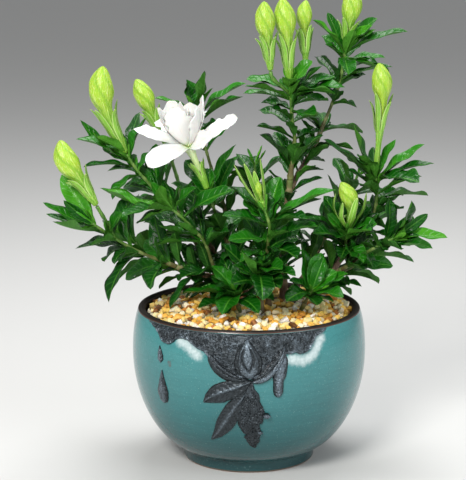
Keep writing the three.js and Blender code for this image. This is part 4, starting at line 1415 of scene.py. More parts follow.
SHOOTS = {
    "left_low": Shoot(
        ((-9, 4, 114), (-19, -4, 125), (-36, -14, 131), (-54, -24, 140), (-73, -34, 150), (-89, -42, 161),
         (-103, -48, 172)), 0.44, (2, 1.4), (((-89, -42, 161), (-94, -44, 172), (-100, -46, 183)),), "left"),
    "left_up": Shoot(
        ((-7.8, 6.4, 115), (-16, 6, 130), (-30, 2, 151), (-46, -6, 169), (-60, -12, 184), (-69, -15, 195),
         (-75, -16, 202), (-82, -18, 213)), 0.42, (2, 1.4),
        (((-46, -6, 169), (-47, 4, 185), (-53, 8, 205), (-59, 8, 220)),), "left"),
    "small_front": Shoot(
        ((-14, -10, 116), (-23, -14, 133), (-30, -22, 154), (-39, -28, 166), (-45, -32, 173), (-53, -36, 181)),
        0.1, (1.8, 1.4)),
    "flower": Shoot(
        ((-2, 2, 114), (-9, 2, 136), (-18, -6, 158), (-24, -18, 177), (-28, -24, 190)), 0.4, (1.9, 1.5)),
    "behind": Shoot(
        ((2, 20, 113), (-6, 40, 136), (-19, 55, 169), (-30, 60, 204), (-38, 62, 236)), 0.5, (2, 1.4)),
    "trunk": Shoot(
        ((24, 12, 111), (24, 14, 134), (25, 14, 159), (27, 12, 180), (29, 10, 202), (31, 10, 219), (29, 8, 234),
         (28, 6, 250), (27, 4, 259)), 0.54, (3, 1.6),
        (((28, 6, 250), (21, 0, 257), (15.4, -3.4, 262), (14, -4, 267)),
         ((28, 6, 250), (34, 12, 258), (37.6, 15.6, 265), (38, 16, 271))), fullness=0.6, skirt=0.9),
    "up_right": Shoot(
        ((27, 12, 180), (34, 20, 194), (44, 27, 209), (51, 32, 225), (58, 34, 242), (63, 34, 257), (65, 32, 271),
         (66, 30, 279)), 0.42, (2, 1.4), stem="trunk", rooted=False, fullness=0.6),
    "right": Shoot(
        ((47, -2, 115), (55, -2, 127), (64, 0, 140), (73, 2, 151), (81, 5, 161), (86, 6, 170), (87, 6, 183),
         (86, 6, 197)), 0.54, (2.4, 1.5)),
    "right_low": Shoot(
        ((55, -2, 127), (66, -10, 135), (76, -16, 144), (86, -20, 151), (98, -24, 158)), 0.2, (1.7, 1.4),
        stem="right", rooted=False),
    "small_right": Shoot(
        ((64, 0, 140), (65, -12, 150), (65, -16, 156), (66, -18, 163)), 0.25, (1.6, 1.4), stem="right",
        rooted=False),
    "front_mid": Shoot(
        ((13, -18, 118), (11, -30, 138), (12, -40, 157), (13, -44, 170), (9, -46, 182)), 0.36, (1.9, 1.5)),
    "front_low": Shoot(((8, -30, 118), (6, -40, 130), (7, -48, 142)), 0.3, (1.6, 1.4)),
    "low_centre": Shoot(((-6, -32, 107), (-8, -35, 116), (-9, -37, 124)), 0.4, (1.6, 1.4)),
    "low_right": Shoot(((34, -26, 107), (38, -30, 116), (42, -34, 125)), 0.4, (1.6, 1.4)),
    "back_left": Shoot(
        ((-14, 24, 112), (-28, 34, 130), (-44, 42, 150), (-58, 46, 166), (-70, 48, 184)), 0.4, (1.9, 1.4)),
    "back_low_left": Shoot(((-24, 14, 112), (-44, 26, 122), (-64, 34, 132), (-84, 38, 144)), 0.4, (1.7, 1.4)),
    "back_mid": Shoot(
        ((14, 34, 112), (14, 48, 130), (10, 57, 152), (6, 60, 174), (4, 60, 196)), 0.4, (1.9, 1.4)),
    "back_right": Shoot(
        ((34, 28, 112), (46, 40, 130), (58, 48, 150), (70, 52, 170), (78, 52, 190)), 0.4, (1.9, 1.4)),
    "back_low_right": Shoot(((46, 14, 112), (62, 26, 120), (80, 36, 130), (96, 40, 142)), 0.4, (1.7, 1.4)),
}


@dataclass
class Stems:
    """The brown stems, from the soil to where each turns green."""

    sides: int = 12
    stretch: float = 1.6
    joints: float = 11.0
    depth: float = 98.0
    greening: float = 22.0

    def line(self, route: Route, radii: tuple[float, float], start: float, end: float
             ) -> list[tuple[Station, float]]:
        """Stations along part of a route, with a swelling at every joint.

        Args:
            route: The route.
            radii: The radius at its foot and at its tip.
            start: The share of it where the stem starts.
            end: The share where it ends.

        Returns:
            The stations and the radius at each.
        """
        count = max(4, round((end - start) * route.length / self.stretch))
        rows = []
        for i in range(count + 1):
            share = blend(start, end, i / count)
            swell = 0.20 * self.joint(share * route.length) + 0.05 * grain(share * route.length * 0.5, radii[0])
            rows.append((route.station(share), blend(*radii, share) * (0.96 + swell)))
        return rows

    def joint(self, along: float) -> float:
        """How close a place on a stem is to a joint, from 0 to 1."""
        offset = along % self.joints - self.joints * 0.6
        return hill(offset, 1.2)

    def build(self) -> None:
        """Makes every brown stem."""
        bark = Bark().make()
        stems: dict[str, list[Shoot]] = {}
        for name, shoot in SHOOTS.items():
            stems.setdefault(shoot.stem or name, []).append(shoot)
        for name, shoots in stems.items():
            maker = Maker("joint", "green")
            for shoot in shoots:
                self.stem(maker, shoot)
            maker.finish(f"bark_{name}", bark, Slot.BARK, [f"stem_{name}"])

    def stem(self, maker: Maker, shoot: Shoot) -> None:
        """Adds the brown part of a shoot, with its foot in the soil.

        Args:
            maker: The stem's shapes.
            shoot: The shoot.
        """
        route = Route(shoot.knots)
        line = self.line(route, shoot.radii, 0, shoot.wood)
        if shoot.rooted:
            top = Vector(shoot.knots[0])
            heights = [blend(self.depth, top.z - 1, k / 8) for k in range(9)]
            feet = [Station.facing(Vector((top.x, top.y, z)), Vector((0, 0, 1))) for z in heights]
            flare = [shoot.radii[0] * (1 + 0.5 * ease(top.z - 1, self.depth + 6, z)) for z in heights]
            line = [*zip(feet, flare), *line[1:]]
        last = len(line) + 1
        wood = shoot.wood * route.length

        def along(u: float) -> float:
            """The distance up the shoot, in millimetres, from a share of the tube."""
            return wood - (1 - u) * last * self.stretch

        maker.tube(line, self.sides, joint=lambda u, v: self.joint(along(u)),
                   green=lambda u, v: ease(wood - self.greening, wood, along(u)))


# ---------- leaves
LEAF_WIDTH = Profile((0, 0.11), (0.06, 0.12), (0.14, 0.28), (0.26, 0.62), (0.42, 0.90), (0.58, 1), (0.72, 0.94),
                     (0.84, 0.72), (0.92, 0.46), (0.97, 0.24), (1, 0))
PLAIN_WIDTH = Profile((0, 0.1), (0.25, 0.62), (0.4, 0.86), (0.6, 1), (0.72, 0.93), (0.84, 0.66), (1, 0))
LONG_LEAF, SHORT_LEAF = (0.82, 0.54, 0.22), (0.66, 0.26)  # where a packed leaf's loops lie, from its tip back
LEAF_BREADTH = 1.36  # how much broader than a packed leaf
FOLD = math.radians(29)  # how far each half of a blade rises from the flat


@dataclass(frozen=True)
class Blade:
    """One leaf: the three points of its arched midrib, the way that its top looks, its width and its age."""

    root: Vector
    knee: Vector
    tip: Vector
    face: Vector
    width: float
    tone: float
    twist: float
    phase: float

    def place(self, u: float, v: float) -> Vector:
        """The blade's point.

        Args:
            u: The share along it.
            v: The share round it, over the top first.

        Returns:
            The point.
        """
        if u < CLOSED:
            return self.root.copy()
        top, s = lap(v)
        side = abs(s)
        rib, ahead = bowed(self.root, self.knee, self.tip, u)
        across = ahead.cross(self.face).normalized()
        up = across.cross(ahead)
        turn = self.twist * ease(0.1, 1, u)
        cos, sin = math.cos(turn), math.sin(turn)
        across, up = across * cos + up * sin, up * cos - across * sin
        half = LEAF_WIDTH(u) * self.width / 2
        wave = 0.17 * math.sin((u * 2.1 + self.phase) * TURN + 1.3 * (s > 0)) * side ** 1.6
        fold = half * (math.sin(FOLD) * side ** 1.2 * (1 - 0.35 * side ** 2) + wave * ease(0.5, 2.0, half))
        skin = 0.17 * (1 - 0.5 * side) * ease(1.0, 0.93, u)
        keel = (0.55 * (1 - u) + 0.22) * hill(s * half, 0.55) * ease(1.0, 0.85, u)
        groove = 0.16 * hill(s * half, 0.45) * ease(0.08, 0.25, u)
        lift = skin - groove if top else -skin - keel
        return rib + across * (s * half * math.cos(FOLD)) + up * (fold + lift)


@dataclass(frozen=True)
class Screen:
    """The leaves that hide a bud: how near its foot, how far to the front and how high up they stand."""

    near: float
    front: float
    low: float

    def holds(self, blade: Blade, route: Route) -> bool:
        """Whether a leaf hides the bud at the end of its shoot.

        Args:
            blade: The leaf.
            route: The shoot.

        Returns:
            Whether it does.
        """
        ahead = (blade.tip - blade.root).normalized()
        close = (blade.root - route.at(1)).length <= self.near
        return close and ahead.y <= -self.front and blade.tip.z >= self.low


@dataclass
class Sprays:
    """The leafy green ends of the shoots.

    A bud within the near distance of a shoot's end belongs to it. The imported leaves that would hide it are
    spread to the open angle, but by no more than the most, and the smaller ones are turned aside.
    """

    columns: int = 18
    rows: int = 12
    seed: int = 23
    near: float = 25.0
    youth: float = 0.27
    palest: float = 0.80
    tall: float = 20.0
    packed_screen: Screen = Screen(26, 0.35, 170)
    small_screen: Screen = Screen(34, 0.5, 150)
    open: float = math.radians(92)
    most: float = 0.85
    aside: float = math.radians(58)

    def __post_init__(self) -> None:
        """Seeds the small differences from leaf to leaf."""
        self.chance = random.Random(self.seed)

    @staticmethod
    def loops(tip: bmesh.types.BMVert) -> list[list[Vector]]:
        """Finds the loops of four points that lead back from a leaf's tip.

        Args:
            tip: The tip.

        Returns:
            The loops, as lists of places in millimetres.
        """
        seen = {tip.index}
        ring = [edge.other_vert(tip) for edge in tip.link_edges]
        found = []
        while len(ring) == 4 and len(found) < 3:
            seen.update(vert.index for vert in ring)
            found.append([vert.co / MM for vert in ring])
            near = {other.index: other for vert in ring for edge in vert.link_edges
                    for other in [edge.other_vert(vert)] if other.index not in seen}
            ring = [near[key] for key in sorted(near)]
        return found

    @staticmethod
    def section(loop: Sequence[Vector]) -> tuple[Vector, Vector, float]:
        """Reads a loop of four points.

        Args:
            loop: The two edges of the blade, the top of its midrib and the keel below it, in any order.

        Returns:
            The top of the midrib, the way that the blade's top looks there, and the width.
        """
        pairs = [(a, b) for a in range(4) for b in range(a + 1, 4)]
        a, b = max(pairs, key=lambda pair: (loop[pair[0]] - loop[pair[1]]).length)
        middle = (loop[a] + loop[b]) / 2
        top, keel = sorted((loop[k] for k in range(4) if k not in (a, b)), key=lambda p: (p - middle).length)
        return top, (top - keel).normalized(), (loop[a] - loop[b]).length

    def read(self, node: str) -> list[Blade]:
        """Finds the blades of a packed spray by the loops of points behind each tip.

        Args:
            node: The spray's name.

        Returns:
            Its blades.
        """
        mesh = bmesh.new()
        mesh.from_mesh(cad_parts[node].data)
        bmesh.ops.remove_doubles(mesh, verts=mesh.verts, dist=2e-6)
        mesh.verts.index_update()
        blades = []
        for vert in mesh.verts:
            if len(vert.link_edges) != 4:
                continue
            loops = self.loops(vert)
            if len(loops) < 2:
                continue
            tip = vert.co / MM
            rows = [self.section(loop) for loop in loops]
            if (rows[0][0] - tip).length < 3 or rows[0][2] < 3:
                continue
            short = rows[0][2] > rows[1][2] or len(rows) < 3
            blades.append(self.blade(tip, rows[: 2 if short else 3], SHORT_LEAF if short else LONG_LEAF))
        mesh.free()
        return blades

    def blade(self, tip: Vector, rows: Sequence[tuple[Vector, Vector, float]], shares: Sequence[float]) -> Blade:
        """The blade that ends at its tip and whose midrib passes through two of its sections.

        Args:
            tip: Its tip.
            rows: Its sections, from the tip back.
            shares: How far along the blade each of them lies.

        Returns:
            The blade.
        """
        (near, s), (far, t) = ((row[0], share) for row, share in list(zip(rows, shares))[-2:])
        a, b = near - tip * s * s, far - tip * t * t
        a_root, a_knee, b_root, b_knee = (1 - s) ** 2, 2 * s * (1 - s), (1 - t) ** 2, 2 * t * (1 - t)
        scale = a_root * b_knee - b_root * a_knee
        root = (a * b_knee - b * a_knee) / scale
        knee = (b * a_root - a * b_root) / scale
        widest = rows[-2]
        share = shares[len(rows) - 2]
        width = widest[2] / (PLAIN_WIDTH(share) * math.cos(FOLD)) * LEAF_BREADTH
        face = sum((row[1] for row in rows), Vector())
        chance = self.chance
        return Blade(root, knee, tip, face, width, chance.uniform(0.12, 0.62), chance.uniform(-0.35, 0.35),
                     chance.random())

    def build(self) -> None:
        """Makes the leaves and the green stem of every spray."""
        leaf, stalk = GlossyLeaf().make(), GreenStem().make()
        for name, shoot in SHOOTS.items():
            route = Route(shoot.knots)
            maker = Maker("tone")
            blades = self.read(f"spray_{name}")
            more = self.between(blades, route, shoot.fullness)
            if any((Vector(bud.knots[0]) - route.at(1)).length < self.near for bud in BUDS.values()):
                blades = [self.droop(blade, route) for blade in blades]
                more = [self.clear(blade, route) for blade in more]
            blades += more
            blades += self.skirt(blades, route, shoot.skirt)
            young = self.youth * min(1.0, route.length / 70)
            for blade in blades:
                tone = blade.tone + young * hill((blade.root - route.at(1)).length, 14)
                maker.sheet(self.columns, self.rows, blade.place, tone=min(tone, self.palest))
            for blade in self.leaflets(route):
                maker.sheet(12, 12, blade.place, tone=blade.tone)
            maker.finish(f"leaves_{name}", leaf, Slot.FOLIAGE, [f"spray_{name}"])
            LOG.info("%s: %d blades", name, len(blades))
            self.stalks(name, shoot, route, stalk)

    @staticmethod
    def turned(blade: Blade, angle: float, axis: Vector) -> Blade:
        """Turns a leaf about its foot.

        Args:
            blade: The leaf.
            angle: How far.
            axis: What it is turned about.

        Returns:
            The leaf as it then is.
        """
        turn = Matrix.Rotation(angle, 3, axis)
        tip, knee = (blade.root + turn @ (point - blade.root) for point in (blade.tip, blade.knee))
        return replace(blade, tip=tip, knee=knee, face=turn @ blade.face)

    def droop(self, blade: Blade, route: Route) -> Blade:
        """Spreads a packed leaf that would hide the bud at the end of its shoot.

        Args:
            blade: The leaf.
            route: The shoot.

        Returns:
            The leaf as it then is.
        """
        if not self.packed_screen.holds(blade, route):
            return blade
        reach, along = blade.tip - blade.root, route.station(1).along
        more = self.open - reach.angle(along)
        return self.turned(blade, max(0.0, min(self.most, more)), along.cross(reach))

    def clear(self, blade: Blade, route: Route) -> Blade:
        """Turns a smaller leaf aside that would hide the bud at the end of its shoot.

        Args:
            blade: The leaf.
            route: The shoot.

        Returns:
            The leaf as it then is.
        """
        if not self.small_screen.holds(blade, route):
            return blade
        return self.turned(blade, math.copysign(self.aside, blade.phase - 0.5), route.station(1).along)

    def between(self, blades: Sequence[Blade], route: Route, share: float) -> list[Blade]:
        """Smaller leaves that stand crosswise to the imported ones, at the same joints.

        Args:
            blades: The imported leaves.
            route: Their shoot.
            share: How many of them have such a neighbour.

        Returns:
            The smaller leaves.
        """
        chance, more = self.chance, []
        for blade in blades:
            station = route.station(route.nearest(blade.root, 60))
            if chance.random() > share:
                continue
            angle = math.radians(chance.choice((-1, 1)) * chance.uniform(36, 72))
            turn = Matrix.Rotation(angle, 3, station.along)
            lean = station.along * chance.uniform(0.15, 0.75)
            size = chance.uniform(0.60, 0.92)
            ahead = turn @ (blade.tip - blade.root) * size
            length = ahead.length
            ahead = (ahead.normalized() + lean).normalized() * length
            bow = (turn @ (blade.knee - blade.root.lerp(blade.tip, 0.5))) * size
            root = station.centre + station.along * chance.uniform(-1.5, 1.5)
            forward = ahead.normalized()
            face = station.along - forward * station.along.dot(forward)
            tip = root + ahead
            small = Blade(root, root.lerp(tip, 0.5) + bow, tip, face, blade.width * (0.10 + 0.82 * size),
                          chance.uniform(0.05, 0.7), chance.uniform(-0.4, 0.4), chance.random())
            if tip.z < route.at(1).z + self.tall:
                more.append(small)
        return more

    def skirt(self, blades: Sequence[Blade], route: Route, reach: float) -> list[Blade]:
        """Leaves on the wood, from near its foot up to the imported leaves.

        Args:
            blades: The leaves further up.
            route: Their shoot.
            reach: The share of the bare wood that carries leaves.

        Returns:
            The lower leaves, in crosswise pairs.
        """
        chance, more = self.chance, []
        first = min((route.nearest(blade.root, 40) for blade in blades), default=0)
        along, turned = 11.0, chance.uniform(0, TURN)
        while along < first * route.length * reach - 4:
            station = route.station(along / route.length)
            for angle in (turned, turned + TURN / 2):
                out = station.out(angle + chance.uniform(-0.35, 0.35))
                ahead = station.leaning(out, chance.uniform(0.85, 1.25))
                length = chance.uniform(20, 31)
                tip = station.centre + ahead * length + Vector((0, 0, chance.uniform(-3, 3)))
                knee = station.centre.lerp(tip, 0.5) + Vector((0, 0, length * chance.uniform(0.08, 0.2)))
                more.append(Blade(station.centre, knee, tip, Vector((0, 0, 1)) + station.along * 0.4,
                                  length * chance.uniform(0.34, 0.42), chance.uniform(0.02, 0.45),
                                  chance.uniform(-0.4, 0.4), chance.random()))
            turned += TURN / 4
            along += chance.uniform(5.2, 7.6)
        return more

    def leaflets(self, route: Route) -> list[Blade]:
        """The small young leaves that stand close round the tip of a shoot.

        Args:
            route: The shoot.

        Returns:
            The leaves.
        """
        chance, blades = self.chance, []
        for k in range(4):
            pair = k // 2
            station = route.station(1 - (1.2 + 1.4 * pair) / route.length)
            out = station.out((k / 2 + 0.12 + 0.25 * pair) * math.pi + chance.uniform(-0.3, 0.3))
            ahead = station.leaning(out, chance.uniform(0.42, 0.75))
            length = chance.uniform(10, 15)
            tip = station.centre + ahead * length
            knee = station.centre.lerp(tip, 0.5) + out * length * 0.10
            face = station.along - out * 0.3
            blades.append(Blade(station.centre, knee, tip, face, length * 0.26, chance.uniform(0.72, 0.95),
                                chance.uniform(-0.2, 0.2), chance.random()))
        return blades

    def stalks(self, name: str, shoot: Shoot, route: Route, material: Material) -> None:
        """Makes the green stem of a shoot and the stalks of its buds.

        Args:
            name: The shoot's name.
            shoot: The shoot.
            route: Its path.
            material: The green finish.
        """
        stems = Stems()
        maker = Maker("joint", "green")
        start = shoot.wood - 0.4 / route.length

        line = stems.line(route, shoot.radii, start, 1)
        slim = [(station, radius * blend(0.97, 0.70, ease(0, 0.25, k / len(line))))
                for k, (station, radius) in enumerate(line)]
        maker.tube(slim, stems.sides, joint=lambda u, v: stems.joint(blend(start, 1, u) * route.length),
                   green=lambda u, v: u)
        for knots in shoot.twigs:
            twig = Route(knots)
            maker.tube(stems.line(twig, (1.2, 1.3), 0, 1), stems.sides, joint=0.0, green=1.0)
        maker.finish(f"stalks_{name}", material, Slot.FOLIAGE, [f"spray_{name}"])


# ---------- buds
@dataclass(frozen=True)
class BudForm:
    """A bud.

    It has the knots of its axis from foot to tip, the radius of its head, the tips and widths of lobes that
    splay, and the share of the axis where its calyx starts.
    """

    knots: tuple[Point, ...]
    head: float
    free_lobes: tuple[tuple[Point, float], ...] = ()
    sheath: float = 0.0


BUDS = {
    "bud_far_left": BudForm(
        ((-100, -46, 183.3), (-110.6, -48, 200.8), (-119.4, -49, 214.1), (-123, -49, 227.2)), 7.5),
    "bud_left": BudForm(((-82, -18, 213.4), (-93.6, -22, 238.7), (-97.9, -23, 256.7), (-96.3, -24, 272.6)), 8.1),
    "bud_by_flower": BudForm(((-59, 8, 220.4), (-65.8, 6, 237.1), (-70.4, 5, 248.1), (-76.3, 4, 261)), 6.4),
    "bud_top_left": BudForm(((14, -4, 267.2), (12.3, -7, 284.7), (10.2, -9, 300), (9.5, -10, 313.9)), 6.6),
    "bud_top_mid": BudForm(((27, 4, 259.4), (25.1, 2, 287.4), (23.7, 1, 300.8), (21.6, 0, 315.4)), 7.2),
    "bud_top_right": BudForm(((38, 16, 271.4), (37.7, 17, 288.8), (37, 17, 301.6), (38.3, 18, 312.9)), 5.2),
    "bud_high_right": BudForm(((66, 30, 279.4), (68.2, 29, 297.3), (70.1, 29, 308.8), (69.9, 29, 321.6)), 6.8),
    "bud_right": BudForm(((86, 6, 197.4), (88.4, 4, 229.9), (89.2, 3, 257.1), (86.9, 2, 272)), 6.8, sheath=0.24),
    "bud_small_right": BudForm(
        ((66, -18, 163.4), (68, -20, 172.4), (67.1, -21, 182.8), (60.9, -22, 195.1)), 5.7,
        (((78, -21, 188), 4.8), ((71.5, -29, 186), 4.4), ((57.4, -23, 188), 4.4), ((68, -11, 186), 4.2),
         ((62, -31, 183), 4.0))),
    "bud_front": BudForm(
        ((9, -46, 182.4), (7.5, -47, 188), (6, -48, 194), (5.5, -48, 200)), 2.4,
        (((-10.4, -50, 211.5), 5), ((-3.9, -46, 211.5), 5), ((6.4, -49, 215.5), 7.5), ((2.5, -42, 206), 4))),
}


@dataclass
class Buds:
    """The furled buds, each in its ribbed calyx cup with five long lobes."""

    petals: int = 5
    lobes: int = 5
    columns: int = 56
    rows: int = 50
    swell: Profile = Profile((0, 0), (0.10, 0.20), (0.4, 0.46), (0.9, 0.75), (1.5, 0.95), (2.1, 1.0), (2.6, 0.94),
                             (3.1, 0.76), (3.5, 0.60), (3.9, 0.52), (4.6, 0.48), (9, 0.40))

    def core(self, maker: Maker, form: BudForm, route: Route) -> None:
        """Adds the neck and the head of rolled petals, which wind round each other to the tip.

        Args:
            maker: The head.
            form: The bud.
            route: Its axis.
        """
        head, length = form.head, route.length

        def measure(u: float) -> tuple[float, float]:
            """The share along the axis, drawn together towards the head, and the distance from the tip."""
            share = 1 - (1 - u) ** 1.25
            return share, (1 - share) * length / head

        def roll(distance: float, v: float) -> float:
            """Where a place lies across the rolled petal that covers it, from 0 at its free edge to 1."""
            return (v * self.petals + 0.62 * max(0.0, 3.6 - distance) + 0.05 * distance ** 2) % 1.0

        def place(u: float, v: float) -> Vector:
            """The skin's point.

            Args:
                u: The share up the bud.
                v: The share round it.

            Returns:
                The point.
            """
            share, distance = measure(u)
            station = route.station(share)
            if u < CLOSED:
                return station.centre
            radius = self.swell(distance) * head
            radius = blend(1.9, radius, ease(form.sheath, form.sheath + 0.18, share))
            depth = ease(4.2, 3.0, distance) * ease(0.0, 0.35, distance)
            step = roll(distance, v)
            ridge = 0.085 * (1 - step) ** 1.5 * ease(0, 0.12, step) - 0.02
            ribs = 0.06 * math.cos(v * TURN * 5) * (1 - depth)
            return station.centre + station.out(v * TURN) * (radius * (1 + ridge * depth + ribs))

        def fold(u: float, v: float) -> float:
            """How deep in the fold beside a petal's edge a place is."""
            distance, step = measure(u)[1], roll(measure(u)[1], v)
            return (hill(step - 1.0, 0.16) + hill(step, 0.05)) * ease(4.4, 3.2, distance)

        maker.sheet(self.columns, self.rows, place, fold=fold)

    def cup(self, maker: Maker, route: Route, span: tuple[float, float], radius: float) -> None:
        """Adds the ribbed cup at the foot of a calyx.

        Args:
            maker: The calyx.
            route: Its axis.
            span: The shares of the axis where it starts and ends.
            radius: Its radius at the top.
        """
        shares = [k / 12 for k in range(13)]
        rows = [(route.station(blend(*span, t)), blend(1.75, radius, ease(0, 1, t))) for t in shares]

        def place(u: float, v: float) -> Vector:
            """The cup's point, on five soft ribs.

            Args:
                u: The share up it.
                v: The share round it.

            Returns:
                The point.
            """
            station, size = rows[round(u * 12)]
            size *= 1 + 0.10 * math.cos(v * TURN * self.lobes)
            return station.centre + station.out(v * TURN) * (0 if u in (0, 1) else size)

        maker.sheet(12, 30, place, lobe=0.0)

    def lobe(self, maker: Maker, route: Route, angle: float, span: tuple[float, float], radii: Profile,
             wide: float) -> None:
        """Adds one long keeled calyx lobe.

        Args:
            maker: The calyx.
            route: The axis that it stands beside.
            angle: Where round the axis it stands.
            span: The shares of the axis, or beyond its end, where it starts and ends.
            radii: Its distance from the axis, by the share along the lobe.
            wide: Its greatest width.
        """
        width = Profile((0, 0.62), (0.2, 0.80), (0.5, 1.0), (0.76, 0.92), (0.93, 0.52), (1, 0))
        last = route.station(1)

        def place(u: float, v: float) -> Vector:
            """The lobe's point.

            Args:
                u: The share up it.
                v: The share round it, over the outside first.

            Returns:
                The point.
            """
            outside, s = lap(v)
            share = blend(*span, u)
            station = route.station(min(share, 1))
            centre = station.centre + last.along * max(0.0, share - 1) * route.length
            out = station.out(angle)
            across = station.along.cross(out)
            half = width(u) * wide / 2 * (u > CLOSED)
            bend = 0.30 * half * s * s
            skin = (0.34 * (1 - 0.5 * abs(s)) + 0.30 * hill(s, 0.3)) * ease(1, 0.85, u) * (u > CLOSED)
            curl = 0.10 * wide * math.sin(u * 5 + angle * 3) * u
            off = radii(u) - bend + (skin if outside else -skin * 0.6)
            return centre + out * off + across * (s * half + curl)

        maker.sheet(18, 12, place, lobe=1.0)

    def free_lobe(self, maker: Maker, route: Route, tip: Vector, wide: float, bulge: float) -> None:
        """Adds a lobe that arches from the foot of a bud, round its head, to its own tip.

        Args:
            maker: The calyx.
            route: The bud's axis.
            tip: Where the lobe ends.
            wide: Its greatest width.
            bulge: How far it arches out.
        """
        foot = route.at(0)
        along = route.station(0).along
        away = tip - foot - along * (tip - foot).dot(along)
        knee = foot.lerp(tip, 0.5) + away * 0.12 + away.normalized() * bulge + Vector((0, -0.6, 0))
        arch = Route((foot, knee, tip))
        station, towards = arch.station(0.5), away + Vector((0, -2, 0))
        angle = max((k * TURN / 24 for k in range(24)), key=lambda turn: station.out(turn).dot(towards))
        self.lobe(maker, arch, angle, (0.02, 1), Profile((0, 1.3), (1, 0.2)), wide)

    def build(self) -> None:
        """Makes every bud and its calyx."""
        skin, calyx = BudSkin().make(), CalyxSkin().make()
        for name, form in BUDS.items():
            route = Route(form.knots)
            head = Maker("fold")
            self.core(head, form, route)
            head.finish(f"{name}_petals", skin, Slot.BUD, [name])
            green = Maker("lobe")
            self.cup(green, route, (form.sheath, form.sheath + 0.27), 2.3 + 0.16 * form.head)
            top = 1 - 3.35 * form.head / route.length
            reach = Profile((0, 1.9), (0.25, 2.6 + 0.17 * form.head), (0.5, 2.5 + 0.30 * form.head),
                            (0.8, 1.4 + 0.72 * form.head), (1, 1.20 * form.head + 0.6))
            for tip, wide in form.free_lobes:
                self.free_lobe(green, route, Vector(tip), wide, max(0.0, form.head - 2.4) * 0.9)
            for k in range(0 if form.free_lobes else self.lobes):
                angle = (k + 0.3) / self.lobes * TURN
                end = top * (1 + 0.07 * math.sin(k * 2.4 + form.head))
                self.lobe(green, route, angle, (form.sheath + 0.11, end), reach, 3.3 + 0.16 * form.head)
            green.finish(f"{name}_calyx", calyx, Slot.CALYX, [name])


# ---------- the flower
@dataclass(frozen=True)
class PetalForm:
    """A petal.

    It has a tip, a width, a bow (how far it arches up from the straight line, as a share of its length), a roll
    about its own line in degrees, and a blunt end from 0 (pointed) to 1 (round).
    """

    tip: Point
    width: float
    bow: float
    roll: float
    blunt: float


OUTER_PETALS = (
    PetalForm((-77, -28, 231.5), 10.5, 0.03, -26, 0.2), PetalForm((-66, -58, 211), 16, 0.14, -40, 1.0),
    PetalForm((-8, -31, 240), 14, -0.06, 26, 0.8), PetalForm((-60, 1, 235), 16, 0.10, 0, 0.5),
    PetalForm((-32, 8, 238), 16, 0.08, 0, 0.5), PetalForm((-24, -48, 229), 14, 0.02, 40, 0.5),
)
INNER_PETALS = tuple(PetalForm(tip, width, bow, 0, blunt) for tip, width, bow, blunt in (
    ((-60.5, -30, 246), 19, -0.24, 0.4), ((-51, -40, 247), 18, -0.24, 0.4), ((-34, -39, 248), 18, -0.22, 0.4),
    ((-31, -25, 253.5), 18, -0.22, 0.1), ((-40, -13, 247.5), 19, -0.24, 0.4), ((-54, -18, 249), 18, -0.24, 0.4),
    ((-46, -29, 250), 10, -0.14, 0.3), ((-40, -26, 247), 9, 0.14, 0.3),
))


